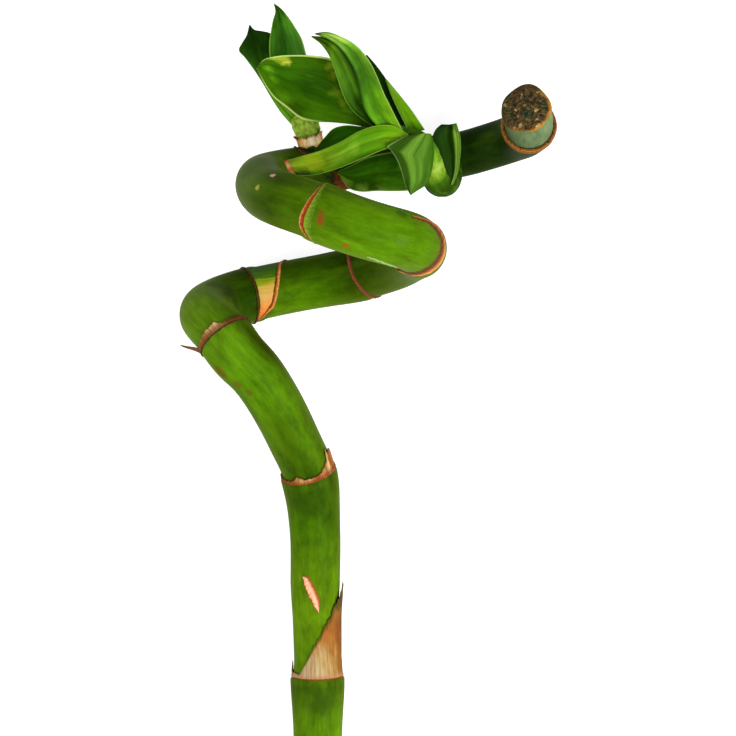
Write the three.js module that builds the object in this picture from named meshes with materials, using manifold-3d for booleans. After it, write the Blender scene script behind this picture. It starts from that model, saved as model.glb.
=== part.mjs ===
// Spiral cane of a lucky bamboo with two leafy side shoots, lying on a table, in millimetres.
// X runs to the right, Y along the straight part of the cane, Z up from the table.
import * as THREE from 'three';
import { mergeVertices } from 'three/addons/utils/BufferGeometryUtils.js';
import Module from 'manifold-3d';

const wasm = await Module();
wasm.setup();

// Driving dimensions
const CANE_SIDES = 16;
const CANE_STEP = 3.5;
const NODE_SWELLING = 0.055;
const NODE_SWELLING_BELOW = 9;
const NODE_SWELLING_ABOVE = 0.8;
const BLADE_THICKNESS = 0.7;
const BLADE_ROWS = 14;
const BLADE_COLUMNS = 4;
const DRY_THICKNESS = 0.6;
const DRY_GAP = 0.35;
const SEAT_GAP = 0.3;

const point = (x, y, z) => new THREE.Vector3(x, y, z);
const UP = point(0, 0, 1);

// The middle line of the cane, from the cut at the bottom to the cut at the top:
// straight, then two and a half turns of a flattened left-handed spiral, then a last bend upward.
const caneLine = new THREE.CatmullRomCurve3([
  point(0, 0, 6.1),
  point(0, 27.5, 6.6),
  point(0, 56.5, 7.3),
  point(-0.5, 75.5, 7.8),
  point(-0.5, 92.5, 9),
  point(-1.85, 106, 13),
  point(-5.2, 114.5, 18),
  point(-9.5, 123.5, 24),
  point(-13.6, 130, 27.8),
  point(-17.7, 134.4, 29.2),
  point(-21.2, 139, 28),
  point(-24.1, 141.8, 24.5),
  point(-25.6, 143.6, 20.2),
  point(-25.3, 145, 16),
  point(-22.9, 146.5, 12),
  point(-19, 147.9, 9.1),
  point(-13, 149.4, 7.1),
  point(-5, 151.1, 6),
  point(3, 152.5, 7),
  point(11, 153.9, 10),
  point(18.5, 155.9, 18),
  point(22.1, 157.6, 27),
  point(23.35, 158.4, 36),
  point(20.9, 159.4, 45),
  point(12.5, 161.35, 51),
  point(6, 163.5, 51.5),
  point(0, 166, 49),
  point(-6.8, 168.75, 43),
  point(-10.85, 171.2, 34),
  point(-12.5, 173.7, 26),
  point(-11.9, 175.6, 18),
  point(-8.7, 177.1, 12),
  point(-3.5, 178.3, 8),
  point(5.5, 179.5, 6),
  point(15, 180, 5.1),
  point(24.5, 180.9, 6.5),
  point(34.5, 182.35, 9),
  point(41.1, 183.85, 13),
  point(46.3, 185.15, 18),
  point(48.6, 185.75, 24),
  point(48.8, 186.9, 31),
  point(47.6, 189.3, 38),
]);
caneLine.arcLengthDivisions = 4000;
const caneLength = caneLine.getLength();

// How far along the cane each leaf joint lies, and the radius midway between the joints
const CANE_NODES = [7, 57, 107, 148, 179, 206, 237, 269, 324, 356, 385];
const RADIUS_ALONG = [
  [0, 5.8],
  [32, 5.65],
  [50, 5.75],
  [57, 5.8],
  [62, 5.5],
  [72, 5.55],
  [80, 5.95],
  [100, 5.95],
  [128, 6.25],
  [165, 6.3],
  [200, 6.35],
  [222, 6.2],
  [255, 6.45],
  [285, 6.25],
  [300, 6],
  [330, 5.4],
  [380, 5.35],
  [396, 5.6],
];

// A value read from a list of [place, value] pairs, straight between them
function between(pairs, place) {
  if (place <= pairs[0][0]) return pairs[0][1];
  for (let i = 1; i < pairs.length; i += 1) {
    const [start, from] = pairs[i - 1];
    const [end, to] = pairs[i];
    if (place <= end) return from + (to - from) * (place - start) / (end - start);
  }
  return pairs[pairs.length - 1][1];
}

// The cane is slim between its joints, swells slowly up to each one and steps back just above it
function caneRadius(along) {
  let swelling = 0;
  for (const node of CANE_NODES) {
    const reach = along < node ? NODE_SWELLING_BELOW : NODE_SWELLING_ABOVE;
    const strength = node < 110 ? 2.2 : 1;
    swelling += strength * Math.exp(-(((along - node) / reach) ** 2));
  }
  return between(RADIUS_ALONG, along) * (1 + NODE_SWELLING * swelling);
}

// Directions square to a curve at each place, carried along it without twisting
function framesAlong(curve, places) {
  const length = curve.getLength();
  const frames = [];
  let side = null;
  for (const place of places) {
    const share = THREE.MathUtils.clamp(place / length, 0, 1);
    const tangent = curve.getTangentAt(share);
    if (side === null) side = new THREE.Vector3().crossVectors(tangent, UP);
    side = side.clone().addScaledVector(tangent, -side.dot(tangent)).normalize();
    const top = new THREE.Vector3().crossVectors(side, tangent).normalize();
    frames.push({ centre: curve.getPointAt(share), tangent, side, top });
  }
  return frames;
}

function welded(geometry) {
  geometry.deleteAttribute('normal');
  geometry.deleteAttribute('uv');
  return mergeVertices(geometry, 1e-4);
}

// A capped cylinder bent along a curve, with its rows at the given places and its own radius at each
function roundStem(curve, places, radiusAt, sides) {
  const frames = framesAlong(curve, places);
  const rows = places.length - 1;
  const geometry = new THREE.CylinderGeometry(1, 1, rows, sides, rows);
  const position = geometry.attributes.position;
  for (let i = 0; i < position.count; i += 1) {
    const row = Math.round(position.getY(i) + rows / 2);
    const { centre, side, top } = frames[row];
    const radius = radiusAt(places[row]);
    const moved = centre.clone();
    moved.addScaledVector(side, position.getX(i) * radius);
    moved.addScaledVector(top, position.getZ(i) * radius);
    position.setXYZ(i, moved.x, moved.y, moved.z);
  }
  return welded(geometry);
}

function evenPlaces(length, step) {
  const count = Math.ceil(length / step);
  return Array.from({ length: count + 1 }, (_, i) => length * i / count);
}

// The cane's rows: even steps, with closer ones where the surface steps back above a joint
function canePlaces() {
  const places = evenPlaces(caneLength, CANE_STEP);
  for (const node of CANE_NODES) {
    places.push(node - 0.8, node + 0.1, node + 0.6, node + 1.1, node + 2);
  }
  places.sort((a, b) => a - b);
  return places.filter((place, i) => i === 0 || place - places[i - 1] > 0.45);
}

function caneGeometry(grow) {
  return roundStem(caneLine, canePlaces(), (along) => caneRadius(along) + grow, CANE_SIDES);
}

// A thin closed sheet. Each point of its middle layer and the way that layer faces come from place(row,
// column). Both faces are split into the same triangles, so that they never cross.
function sheet(rows, columns, half, place) {
  const vertices = [];
  for (let row = 0; row <= rows; row += 1) {
    for (let column = 0; column <= columns; column += 1) {
      const { middle, outward } = place(row / rows, column / columns);
      const upper = middle.clone().addScaledVector(outward, half);
      const lower = middle.clone().addScaledVector(outward, -half);
      vertices.push(upper.x, upper.y, upper.z, lower.x, lower.y, lower.z);
    }
  }
  const upperCorner = (row, column) => 2 * (row * (columns + 1) + column);
  const lowerCorner = (row, column) => upperCorner(row, column) + 1;
  const triangles = [];
  const quad = (a, b, c, d) => triangles.push(a, b, c, a, c, d);
  for (let row = 0; row < rows; row += 1) {
    const next = row + 1;
    for (let column = 0; column < columns; column += 1) {
      const right = column + 1;
      triangles.push(upperCorner(row, column), upperCorner(next, column), upperCorner(next, right));
      triangles.push(upperCorner(row, column), upperCorner(next, right), upperCorner(row, right));
      triangles.push(lowerCorner(row, column), lowerCorner(next, right), lowerCorner(next, column));
      triangles.push(lowerCorner(row, column), lowerCorner(row, right), lowerCorner(next, right));
    }
    quad(upperCorner(row, 0), lowerCorner(row, 0), lowerCorner(next, 0), upperCorner(next, 0));
    const edge = [upperCorner(row, columns), upperCorner(next, columns)];
    quad(edge[0], edge[1], lowerCorner(next, columns), lowerCorner(row, columns));
  }
  for (let column = 0; column < columns; column += 1) {
    const right = column + 1;
    quad(upperCorner(0, column), upperCorner(0, right), lowerCorner(0, right), lowerCorner(0, column));
    quad(upperCorner(rows, column), lowerCorner(rows, column), lowerCorner(rows, right), upperCorner(rows, right));
  }
  const geometry = new THREE.BufferGeometry();
  geometry.setAttribute('position', new THREE.Float32BufferAttribute(vertices, 3));
  geometry.setIndex(triangles);
  return geometry;
}

// A leaf: a blade stretched between its two edges. Its crown is how far its middle stands above them, as
// a share of its width, or below them where it is negative, and the ridge is where across it lies.
function bladeGeometry(leaf, grow) {
  const leftEdge = new THREE.CatmullRomCurve3(leaf.left);
  const rightEdge = new THREE.CatmullRomCurve3(leaf.right);
  const { crown, ridge } = leaf;
  return sheet(BLADE_ROWS, BLADE_COLUMNS, BLADE_THICKNESS / 2 + grow, (along, across) => {
    const start = rightEdge.getPointAt(along);
    const reach = leftEdge.getPointAt(along).sub(start);
    const width = reach.length();
    const toLeft = reach.clone().normalize();
    const forward = rightEdge.getTangentAt(along).add(leftEdge.getTangentAt(along)).normalize();
    const normal = new THREE.Vector3().crossVectors(forward, toLeft).normalize();
    const rising = across < ridge;
    const climb = rising ? across / ridge : (1 - across) / (1 - ridge);
    const height = crown * width * Math.sin(climb * Math.PI / 2);
    const run = rising ? ridge : ridge - 1;
    const slope = crown * Math.cos(climb * Math.PI / 2) * Math.PI / 2 / run;
    const middle = start.addScaledVector(toLeft, width * across + grow * (2 * across - 1));
    middle.addScaledVector(normal, height);
    const outward = normal.addScaledVector(toLeft, -slope).normalize();
    return { middle, outward };
  });
}

// What is left of a dead leaf's sheath: a dry sheet wrapped round a stem. Its top edge is torn to the
// heights given for some angles, counted from the side that faces up, and its points bend outward.
function drySheathGeometry(line, radiusAt, torn) {
  const { start, heights, flare, columns, rows } = torn;
  const from = heights[0][0];
  const to = heights[heights.length - 1][0];
  const length = line.getLength();
  return sheet(rows, columns, DRY_THICKNESS / 2, (up, round) => {
    const angle = to + (from - to) * round;
    const height = up * between(heights, angle);
    const share = (start + height) / length;
    const tangent = line.getTangentAt(share);
    const side = new THREE.Vector3().crossVectors(tangent, UP).normalize();
    const top = new THREE.Vector3().crossVectors(side, tangent);
    const turn = THREE.MathUtils.degToRad(angle);
    const outward = top.multiplyScalar(Math.cos(turn)).addScaledVector(side, Math.sin(turn));
    const radius = radiusAt(start + height) + DRY_GAP + DRY_THICKNESS / 2 + flare * height * height;
    const middle = line.getPointAt(share).addScaledVector(outward, radius);
    return { middle, outward };
  });
}

function solid(geometry) {
  const vertProperties = Float32Array.from(geometry.attributes.position.array);
  const triVerts = Uint32Array.from(geometry.index.array);
  return new wasm.Manifold(new wasm.Mesh({ numProp: 3, vertProperties, triVerts }));
}

function surface(body) {
  const mesh = body.getMesh();
  const geometry = new THREE.BufferGeometry();
  geometry.setAttribute('position', new THREE.Float32BufferAttribute(mesh.vertProperties, 3));
  geometry.setIndex(Array.from(mesh.triVerts));
  return geometry;
}

// What is left of a body after its neighbours are cut away: the largest piece
function seated(body, neighbours) {
  let rest = body;
  for (const neighbour of neighbours) rest = rest.subtract(neighbour);
  const pieces = rest.decompose();
  return pieces.reduce((best, piece) => (piece.volume() > best.volume() ? piece : best));
}

const group = new THREE.Group();

function addPiece(name, geometry, material) {
  geometry.computeVertexNormals();
  const mesh = new THREE.Mesh(geometry, material);
  mesh.name = name;
  group.add(mesh);
}

const caneGreen = new THREE.MeshStandardMaterial({ color: 0x4d7a18, roughness: 0.42, metalness: 0 });
const leafGreen = new THREE.MeshStandardMaterial({ color: 0x3f7a12, roughness: 0.45, metalness: 0 });
const shootGreen = new THREE.MeshStandardMaterial({ color: 0x7fae2c, roughness: 0.5, metalness: 0 });
const drySheath = new THREE.MeshStandardMaterial({ color: 0xb87a45, roughness: 0.85, metalness: 0 });

// The cane, cut square at both ends
addPiece('cane', caneGeometry(0), caneGreen);
const caneClearance = solid(caneGeometry(SEAT_GAP));

// The dry sheaths that still cling to the cane above three of its joints and below the top cut
const caneSheaths = {
  dry_sheath_lower_joint: {
    start: 58.2, flare: 0.001, columns: 26, rows: 6,
    heights: [
      [-165, 1.1],
      [-104, 1],
      [-92, 3.6],
      [-80, 1.1],
      [-42, 0.9],
      [82, 22.5],
      [170, 4],
      [188, 1.2],
    ],
  },
  dry_sheath_upper_joint: {
    start: 108.2, flare: 0.01, columns: 24, rows: 3,
    heights: [
      [-170, 1],
      [-60, 1],
      [-25, 2.1],
      [0, 1],
      [35, 1.6],
      [58, 5.2],
      [72, 4.4],
      [90, 3.6],
      [110, 1.2],
      [182, 1],
    ],
  },
  dry_sheath_first_turn: {
    start: 148.8, flare: 0.05, columns: 30, rows: 3,
    heights: [
      [-170, 1],
      [-88, 1.6],
      [-76, 5.4],
      [-64, 1.7],
      [15, 1.5],
      [45, 1],
      [182, 1],
    ],
  },
  dry_sheath_top_cut: {
    start: 386.2, flare: 0, columns: 24, rows: 2,
    heights: [
      [-170, 1.5],
      [-60, 1.9],
      [20, 1.5],
      [90, 2],
      [182, 1.5],
    ],
  },
};
for (const [name, torn] of Object.entries(caneSheaths)) {
  const sheath = seated(solid(drySheathGeometry(caneLine, caneRadius, torn)), [caneClearance]);
  addPiece(name, surface(sheath), drySheath);
}

// The middle lines and radii of the two side shoots' stems
const leftShoot = {
  line: new THREE.CatmullRomCurve3([
    point(-1, 181, 7.5),
    point(-1.5, 184.5, 8),
    point(-2.3, 188, 9),
    point(-3.2, 191, 10),
  ]),
  radii: [[0, 2.6], [5.8, 2.6], [6.8, 3.1], [8, 2.9], [10.5, 1.6]],
};
const rightShoot = {
  line: new THREE.CatmullRomCurve3([
    point(31, 180.5, 12),
    point(29.9, 175.5, 14.5),
    point(27.8, 176.6, 17.5),
    point(26.5, 181, 20),
    point(24.6, 184.5, 21.5),
    point(22, 186, 22),
    point(18.5, 187, 22),
  ]),
  radii: [[0, 3.4], [4, 4], [8, 3.8], [12, 2.9], [16, 2.4], [19, 1.7], [23, 1.1]],
};

function shootGeometry(shoot, grow) {
  const places = evenPlaces(shoot.line.getLength(), 1.6);
  return roundStem(shoot.line, places, (along) => between(shoot.radii, along) + grow, 14);
}

// The leaves, each with its left and its right edge as seen from its foot, from the foot to the tip
const leftLeaves = {
  leaf_left_folded: {
    left: [
      point(-5.8, 189.1, 8),
      point(-8.5, 192.1, 9),
      point(-10.8, 195.5, 9.5),
      point(-12.9, 199.1, 9.5),
      point(-15.2, 202.6, 9.5),
      point(-17.2, 205.3, 9),
      point(-18.7, 207.2, 8.5),
      point(-17.8, 209.1, 8.5),
      point(-16.9, 210.7, 8),
      point(-16.3, 213.3, 7),
    ],
    right: [
      point(-2.7, 190, 8.5),
      point(-5.8, 192.8, 9.5),
      point(-8.6, 195.8, 10),
      point(-10, 199.9, 10),
      point(-10.8, 203.4, 10),
      point(-10.9, 207.1, 9.5),
      point(-11, 210.9, 9),
      point(-13.2, 211.7, 8.5),
      point(-15, 212.1, 8),
      point(-16.1, 213.3, 7),
    ],
    crown: 0.12, ridge: 0.5,
  },
  leaf_left_tall: {
    left: [
      point(-3.4, 189.8, 10.5),
      point(-7.8, 196, 12.5),
      point(-10.1, 201.3, 13.5),
      point(-11.1, 205.2, 13.8),
      point(-11.2, 208.4, 13.6),
      point(-10.9, 210.8, 13),
      point(-10.4, 213.8, 12.3),
      point(-9.9, 215.8, 11.5),
      point(-10.3, 218, 10),
    ],
    right: [
      point(-0, 190, 10.5),
      point(-0.7, 196, 12.5),
      point(-1.7, 201.7, 13.5),
      point(-2.7, 206, 13.8),
      point(-3.6, 209.1, 13.6),
      point(-4.9, 211.5, 13),
      point(-6.6, 214.2, 12.3),
      point(-8.4, 216.5, 11.5),
      point(-10.2, 218.1, 10),
    ],
    crown: -0.18, ridge: 0.5,
  },
};
const rightLeaves = {
  leaf_right_broad: {
    left: [
      point(17.5, 186, 21.3),
      point(12.6, 187.2, 20.5),
      point(7.9, 188.1, 20.7),
      point(3.3, 188.5, 21.2),
      point(-0.9, 188.6, 22),
      point(-3.7, 189.3, 22.6),
      point(-6.7, 191.6, 23.2),
      point(-9.7, 194, 23.8),
      point(-11.9, 197.2, 24.3),
      point(-13.6, 200.6, 24.5),
    ],
    right: [
      point(17.7, 187.6, 21.5),
      point(14.4, 191.8, 21.3),
      point(10.7, 195.9, 22),
      point(7.2, 199.3, 22.8),
      point(4, 202.7, 23.6),
      point(-0.2, 203.5, 24.2),
      point(-4.5, 203.6, 24.7),
      point(-8.9, 203.3, 25),
      point(-11.9, 202.5, 25),
      point(-13.4, 201, 24.5),
    ],
    crown: -0.12, ridge: 0.5,
  },
  leaf_right_behind: {
    left: [
      point(17.5, 184.9, 20.5),
      point(12.6, 184.2, 18.5),
      point(8.3, 183.4, 17),
      point(4.3, 182.6, 16),
      point(1.7, 182.2, 15.3),
      point(-0.6, 182.4, 15),
    ],
    right: [
      point(17.9, 186.5, 20.8),
      point(13.7, 187.3, 19.5),
      point(10.2, 187.8, 18.5),
      point(6.7, 188.1, 17.7),
      point(3.9, 187.4, 17),
      point(2, 185.6, 16.2),
      point(-0.5, 182.7, 15),
    ],
    crown: -0.15, ridge: 0.5,
  },
  leaf_right_lower: {
    left: [
      point(25.4, 173.9, 18.3),
      point(22.4, 173, 17.7),
      point(18.4, 172.8, 17.2),
      point(14.4, 172.9, 16.7),
      point(10.2, 172.8, 16.2),
      point(7.5, 173.7, 15.6),
      point(4.8, 177.4, 14.8),
    ],
    right: [
      point(24.5, 182.1, 20.3),
      point(19.6, 181.8, 19.2),
      point(16.1, 181.6, 18.3),
      point(11.6, 180.6, 17.2),
      point(7.9, 178.8, 16),
      point(4.9, 177.6, 14.8),
    ],
    crown: -0.15, ridge: 0.5,
  },
  leaf_right_shaded: {
    left: [
      point(20.2, 186, 21),
      point(17.9, 189.9, 21.8),
      point(15.8, 194.4, 22.6),
      point(14, 199, 23),
      point(11.6, 203.8, 22.6),
    ],
    right: [
      point(22.3, 186.7, 21),
      point(20.5, 190.8, 21.8),
      point(18.4, 194.9, 22.6),
      point(15.8, 199, 23),
      point(13.7, 201.8, 23),
      point(11.8, 204, 22.6),
    ],
    crown: -0.15, ridge: 0.5,
  },
  leaf_right_slim: {
    left: [
      point(21.9, 185.6, 22.3),
      point(20.4, 188.3, 23.2),
      point(19, 191, 24.1),
      point(17.4, 194.4, 24.8),
      point(16.1, 197.9, 25),
    ],
    right: [
      point(25.3, 186.6, 22.3),
      point(23.8, 188.7, 23.2),
      point(21.9, 191.3, 24.1),
      point(19.3, 194.5, 24.8),
      point(16.4, 198, 25),
    ],
    crown: -0.15, ridge: 0.5,
  },
  leaf_right_inner_hook: {
    left: [
      point(16.5, 186.1, 22),
      point(13.3, 187.5, 22.4),
      point(9.8, 189.7, 23.2),
      point(7.2, 192.6, 24.2),
      point(5.9, 195.5, 25.2),
      point(5, 198.1, 26.2),
      point(4.1, 200.7, 27),
      point(3, 203.3, 27.7),
      point(1.2, 205.7, 28),
      point(-0.9, 207.3, 28),
    ],
    right: [
      point(18.4, 186.8, 22.6),
      point(16, 188.3, 23.4),
      point(13.5, 190.9, 24.6),
      point(11.6, 193.8, 25.6),
      point(10.5, 196.9, 26.6),
      point(9.3, 199.7, 27.5),
      point(7.5, 202.7, 28),
      point(5.3, 205.5, 28.3),
      point(2.2, 207.1, 28.3),
      point(-0.7, 207.5, 28),
    ],
    crown: -0.15, ridge: 0.5,
  },
  leaf_right_outer_hook: {
    left: [
      point(15.8, 186.2, 23),
      point(13.3, 188.1, 25),
      point(11.4, 190.7, 26.5),
      point(10.5, 193.9, 28),
      point(9.8, 197.2, 29.4),
      point(8.4, 200.7, 30.6),
      point(6.4, 203.5, 31.5),
      point(3.5, 205.9, 32),
      point(0, 207.3, 32),
    ],
    right: [
      point(20.7, 185.3, 23),
      point(19.3, 187.6, 25),
      point(17.4, 191.1, 27),
      point(15.5, 194.8, 28.6),
      point(13.9, 198.5, 30),
      point(11.9, 202, 31.2),
      point(9.1, 204.9, 32),
      point(6, 206.6, 32.3),
      point(2.8, 207.7, 32.3),
      point(0.2, 207.5, 32),
    ],
    crown: -0.15, ridge: 0.5,
  },
  leaf_right_front: {
    left: [
      point(20.7, 182.5, 23.2),
      point(16.7, 182.1, 24.2),
      point(11.6, 180.2, 23),
      point(6.7, 178.3, 21.3),
      point(1.8, 176.9, 19.3),
      point(-1.7, 176.4, 18),
      point(-4.6, 176.6, 17),
    ],
    right: [
      point(21.4, 185.5, 23.6),
      point(17.6, 187.3, 24.8),
      point(13.5, 187.2, 24.4),
      point(9.8, 186, 23.3),
      point(5.6, 183.8, 21.6),
      point(0.9, 182, 19.6),
      point(-3.1, 181, 18),
      point(-6.7, 180.1, 17),
    ],
    crown: 0.1, ridge: 0.5,
  },
  leaf_right_folded_down: {
    left: [
      point(26.7, 185.5, 23.2),
      point(27.2, 183.7, 23.3),
      point(27.4, 181.8, 23.3),
      point(27.2, 179.1, 22.6),
      point(26.6, 176.2, 21.4),
      point(25.4, 173.9, 20.6),
      point(23.6, 172.7, 20.4),
      point(22.1, 171.7, 20.5),
    ],
    right: [
      point(23.7, 185.4, 24.3),
      point(20.6, 184.6, 25.6),
      point(18.1, 183.3, 26.2),
      point(16.6, 182.3, 26.2),
      point(17.4, 181.4, 25.8),
      point(18.7, 179.6, 25),
      point(19.9, 176.7, 23.7),
      point(20.9, 173.6, 22),
      point(21.9, 171.7, 20.6),
    ],
    crown: 0.2, ridge: 0.3,
  },
  leaf_right_sheathing: {
    left: [
      point(30.9, 174.3, 18.6),
      point(30.4, 177.1, 19.3),
      point(29.1, 180.5, 20.3),
      point(27.7, 183.2, 21),
      point(27.2, 185.1, 21.5),
      point(27.9, 186.8, 21.8),
      point(29.1, 187.9, 22),
    ],
    right: [
      point(31.9, 174.2, 18.6),
      point(32.9, 176.6, 19.8),
      point(33.4, 179.7, 21.3),
      point(33.6, 182.8, 22.3),
      point(33.4, 185.1, 22.8),
      point(33, 186.7, 22.8),
      point(32.6, 188.1, 22.6),
    ],
    crown: -0.25, ridge: 0.5,
  },
};

// Each shoot's stem is seated on the cane, and each leaf on the stem and clear of the leaves before it
function addShoot(stemName, shoot, leaves) {
  const stem = seated(solid(shootGeometry(shoot, 0)), [caneClearance]);
  addPiece(stemName, surface(stem), shootGreen);
  const clearances = [caneClearance, solid(shootGeometry(shoot, SEAT_GAP))];
  for (const [name, leaf] of Object.entries(leaves)) {
    const blade = seated(solid(bladeGeometry(leaf, 0)), clearances);
    addPiece(name, surface(blade), leafGreen);
    clearances.push(solid(bladeGeometry(leaf, SEAT_GAP)));
  }
}

// The dry bracts that ring the foot of the left shoot
const leftBracts = {
  start: 2.6, flare: 0, columns: 20, rows: 2,
  heights: [
    [-170, 2.6],
    [-90, 3.1],
    [-40, 2.5],
    [0, 3.1],
    [45, 2.6],
    [90, 3.2],
    [182, 2.6],
  ],
};
const leftRadius = (along) => between(leftShoot.radii, along);
const bracts = seated(solid(drySheathGeometry(leftShoot.line, leftRadius, leftBracts)), [caneClearance]);
addPiece('left_shoot_bracts', surface(bracts), drySheath);

addShoot('left_shoot_stem', leftShoot, leftLeaves);
addShoot('right_shoot_stem', rightShoot, rightLeaves);

// The origin is on the table, under the middle of the cane's whole outline
const box = new THREE.Box3().setFromObject(group);
const middle = box.getCenter(new THREE.Vector3());
group.position.set(-middle.x, -middle.y, -box.min.z);

export default group;
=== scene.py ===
import math
from functools import partial

import bpy
import numpy as np
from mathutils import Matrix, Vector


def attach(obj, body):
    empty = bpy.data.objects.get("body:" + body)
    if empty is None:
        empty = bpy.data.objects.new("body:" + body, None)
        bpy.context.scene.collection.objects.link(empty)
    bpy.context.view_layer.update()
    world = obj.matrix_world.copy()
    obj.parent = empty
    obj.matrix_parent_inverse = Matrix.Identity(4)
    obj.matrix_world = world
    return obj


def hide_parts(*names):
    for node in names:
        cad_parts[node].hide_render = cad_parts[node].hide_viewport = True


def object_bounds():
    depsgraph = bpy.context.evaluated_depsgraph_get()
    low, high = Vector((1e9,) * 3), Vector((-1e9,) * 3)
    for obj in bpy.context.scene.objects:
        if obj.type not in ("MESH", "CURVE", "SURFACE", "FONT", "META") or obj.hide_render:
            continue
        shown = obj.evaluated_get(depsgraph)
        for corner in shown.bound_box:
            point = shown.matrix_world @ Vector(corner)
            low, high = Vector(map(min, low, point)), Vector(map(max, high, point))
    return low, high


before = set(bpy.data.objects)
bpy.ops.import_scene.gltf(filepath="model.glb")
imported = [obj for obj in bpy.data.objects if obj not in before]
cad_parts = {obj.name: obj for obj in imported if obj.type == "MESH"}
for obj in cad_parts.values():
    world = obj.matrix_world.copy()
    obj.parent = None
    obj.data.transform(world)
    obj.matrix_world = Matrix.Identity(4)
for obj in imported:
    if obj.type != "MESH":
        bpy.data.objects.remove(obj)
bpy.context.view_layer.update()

# Cane
# One living stem of lucky bamboo, a kind of dragon tree: smooth waxy green rind over pale pith. It grew
# straight, was turned towards the light again and again into a flat spiral, and was sawn off at both ends.
# It lies on its side, and everything else on it grew out of its joints.
MM = 0.001
DRAWING_ORIGIN = np.array([-11.791, -109.067, 0.253])
UP = np.array([0.0, 0.0, 1.0])
CANE_SIDES = 72
CANE_STEP = 0.6
CUT_EDGE = 0.35
CREASE_ANGLE = math.radians(48)
NODE_SWELLING = 0.055
NODE_SWELLING_BELOW = 9
NODE_SWELLING_ABOVE = 0.8
CANE_LINE = [
    (0, 0, 6.1), (0, 27.5, 6.6), (0, 56.5, 7.3), (-0.5, 75.5, 7.8), (-0.5, 92.5, 9), (-1.85, 106, 13),
    (-5.2, 114.5, 18), (-9.5, 123.5, 24), (-13.6, 130, 27.8), (-17.7, 134.4, 29.2), (-21.2, 139, 28),
    (-24.1, 141.8, 24.5), (-25.6, 143.6, 20.2), (-25.3, 145, 16), (-22.9, 146.5, 12), (-19, 147.9, 9.1),
    (-13, 149.4, 7.1), (-5, 151.1, 6), (3, 152.5, 7), (11, 153.9, 10), (18.5, 155.9, 18),
    (22.1, 157.6, 27), (23.35, 158.4, 36), (20.9, 159.4, 45), (12.5, 161.35, 51), (6, 163.5, 51.5),
    (0, 166, 49), (-6.8, 168.75, 43), (-10.85, 171.2, 34), (-12.5, 173.7, 26), (-11.9, 175.6, 18),
    (-8.7, 177.1, 12), (-3.5, 178.3, 8), (5.5, 179.5, 6), (15, 180, 5.1), (24.5, 180.9, 6.5),
    (34.5, 182.35, 9), (41.1, 183.85, 13), (46.3, 185.15, 18), (48.6, 185.75, 24), (48.8, 186.9, 31),
    (47.6, 189.3, 38),
]
CANE_NODES = [7, 57, 107, 148, 179, 206, 237, 269, 324, 356, 385]
CANE_RADII = [
    (0, 5.8), (32, 5.65), (50, 5.75), (57, 5.8), (62, 5.5), (72, 5.55), (80, 5.95), (100, 5.95),
    (128, 6.25), (165, 6.3), (200, 6.35), (222, 6.2), (255, 6.45), (285, 6.25), (300, 6), (330, 5.4),
    (380, 5.35), (396, 5.6),
]
SCAB_DEPTH = 2.0
SCAB_BULGE = 0.2
SCAB_PEAK = 0.8
SCAB_PEAK_ANGLE = math.radians(-58)
SCAB_PEAK_WIDTH = 0.22
SCAB_LUMPS = 0.12


def unit(vectors):
    """Vectors of length one."""
    return vectors / np.linalg.norm(vectors, axis=-1, keepdims=True)


def smooth_line(points, per_span=60):
    """The smooth curve through points that the CAD model draws: a centripetal Catmull-Rom spline."""
    p = np.array(points, float)
    p = np.vstack([2 * p[0] - p[1], p, 2 * p[-1] - p[-2]])
    spans = []
    for before, start, end, after in zip(p, p[1:], p[2:], p[3:]):
        d0 = np.linalg.norm(start - before) ** 0.5
        d1 = np.linalg.norm(end - start) ** 0.5
        d2 = np.linalg.norm(after - end) ** 0.5
        leaving = ((start - before) / d0 - (end - before) / (d0 + d1) + (end - start) / d1) * d1
        arriving = ((end - start) / d1 - (after - start) / (d1 + d2) + (after - end) / d2) * d1
        t = np.linspace(0, 1, per_span, endpoint=False)[:, None]
        bend = -3 * start + 3 * end - 2 * leaving - arriving
        twist = 2 * start - 2 * end + leaving + arriving
        spans.append(start + leaving * t + bend * t**2 + twist * t**3)
    return np.vstack(spans + [p[-2:-1]])


def lengths(line):
    """How far along a line each of its points lies."""
    return np.concatenate([[0], np.cumsum(np.linalg.norm(np.diff(line, axis=0), axis=1))])


def vectors_at(places, along, vectors):
    """Vectors read at places on a line, from the ones given at distances along it."""
    return np.stack([np.interp(places, along, vectors[:, i]) for i in range(3)], axis=-1)


def at_places(line, places):
    """Points at the given distances along a line."""
    return vectors_at(places, lengths(line), line)


def carried_frames(centres):
    """Tangents of a line, and two directions square to them that are carried along it without twisting."""
    tangents = unit(np.gradient(centres, axis=0))
    sides = np.zeros_like(tangents)
    side = np.cross(tangents[0], UP)
    for i, tangent in enumerate(tangents):
        side = unit(side - tangent * (side @ tangent))
        sides[i] = side
    return tangents, sides, np.cross(sides, tangents)


def read(pairs, places):
    """Values read from a list of (place, value) pairs, straight between them."""
    at, values = zip(*pairs)
    return np.interp(places, at, values)


def cane_radius(along):
    """The cane is slim between its joints, swells slowly up to each and steps back just above it."""
    swelling = np.zeros_like(along)
    for node in CANE_NODES:
        reach = np.where(along < node, NODE_SWELLING_BELOW, NODE_SWELLING_ABOVE)
        strength = 2.2 if node < 110 else 1
        swelling += strength * np.exp(-(((along - node) / reach) ** 2))
    return read(CANE_RADII, along) * (1 + NODE_SWELLING * swelling)


cane_curve = smooth_line(CANE_LINE)
cane_length = lengths(cane_curve)[-1]
cane_rows = np.linspace(0, cane_length, round(cane_length / CANE_STEP) + 1)
cane_centres = at_places(cane_curve, cane_rows)
cane_tangents, cane_sides, cane_tops = carried_frames(cane_centres)


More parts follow.
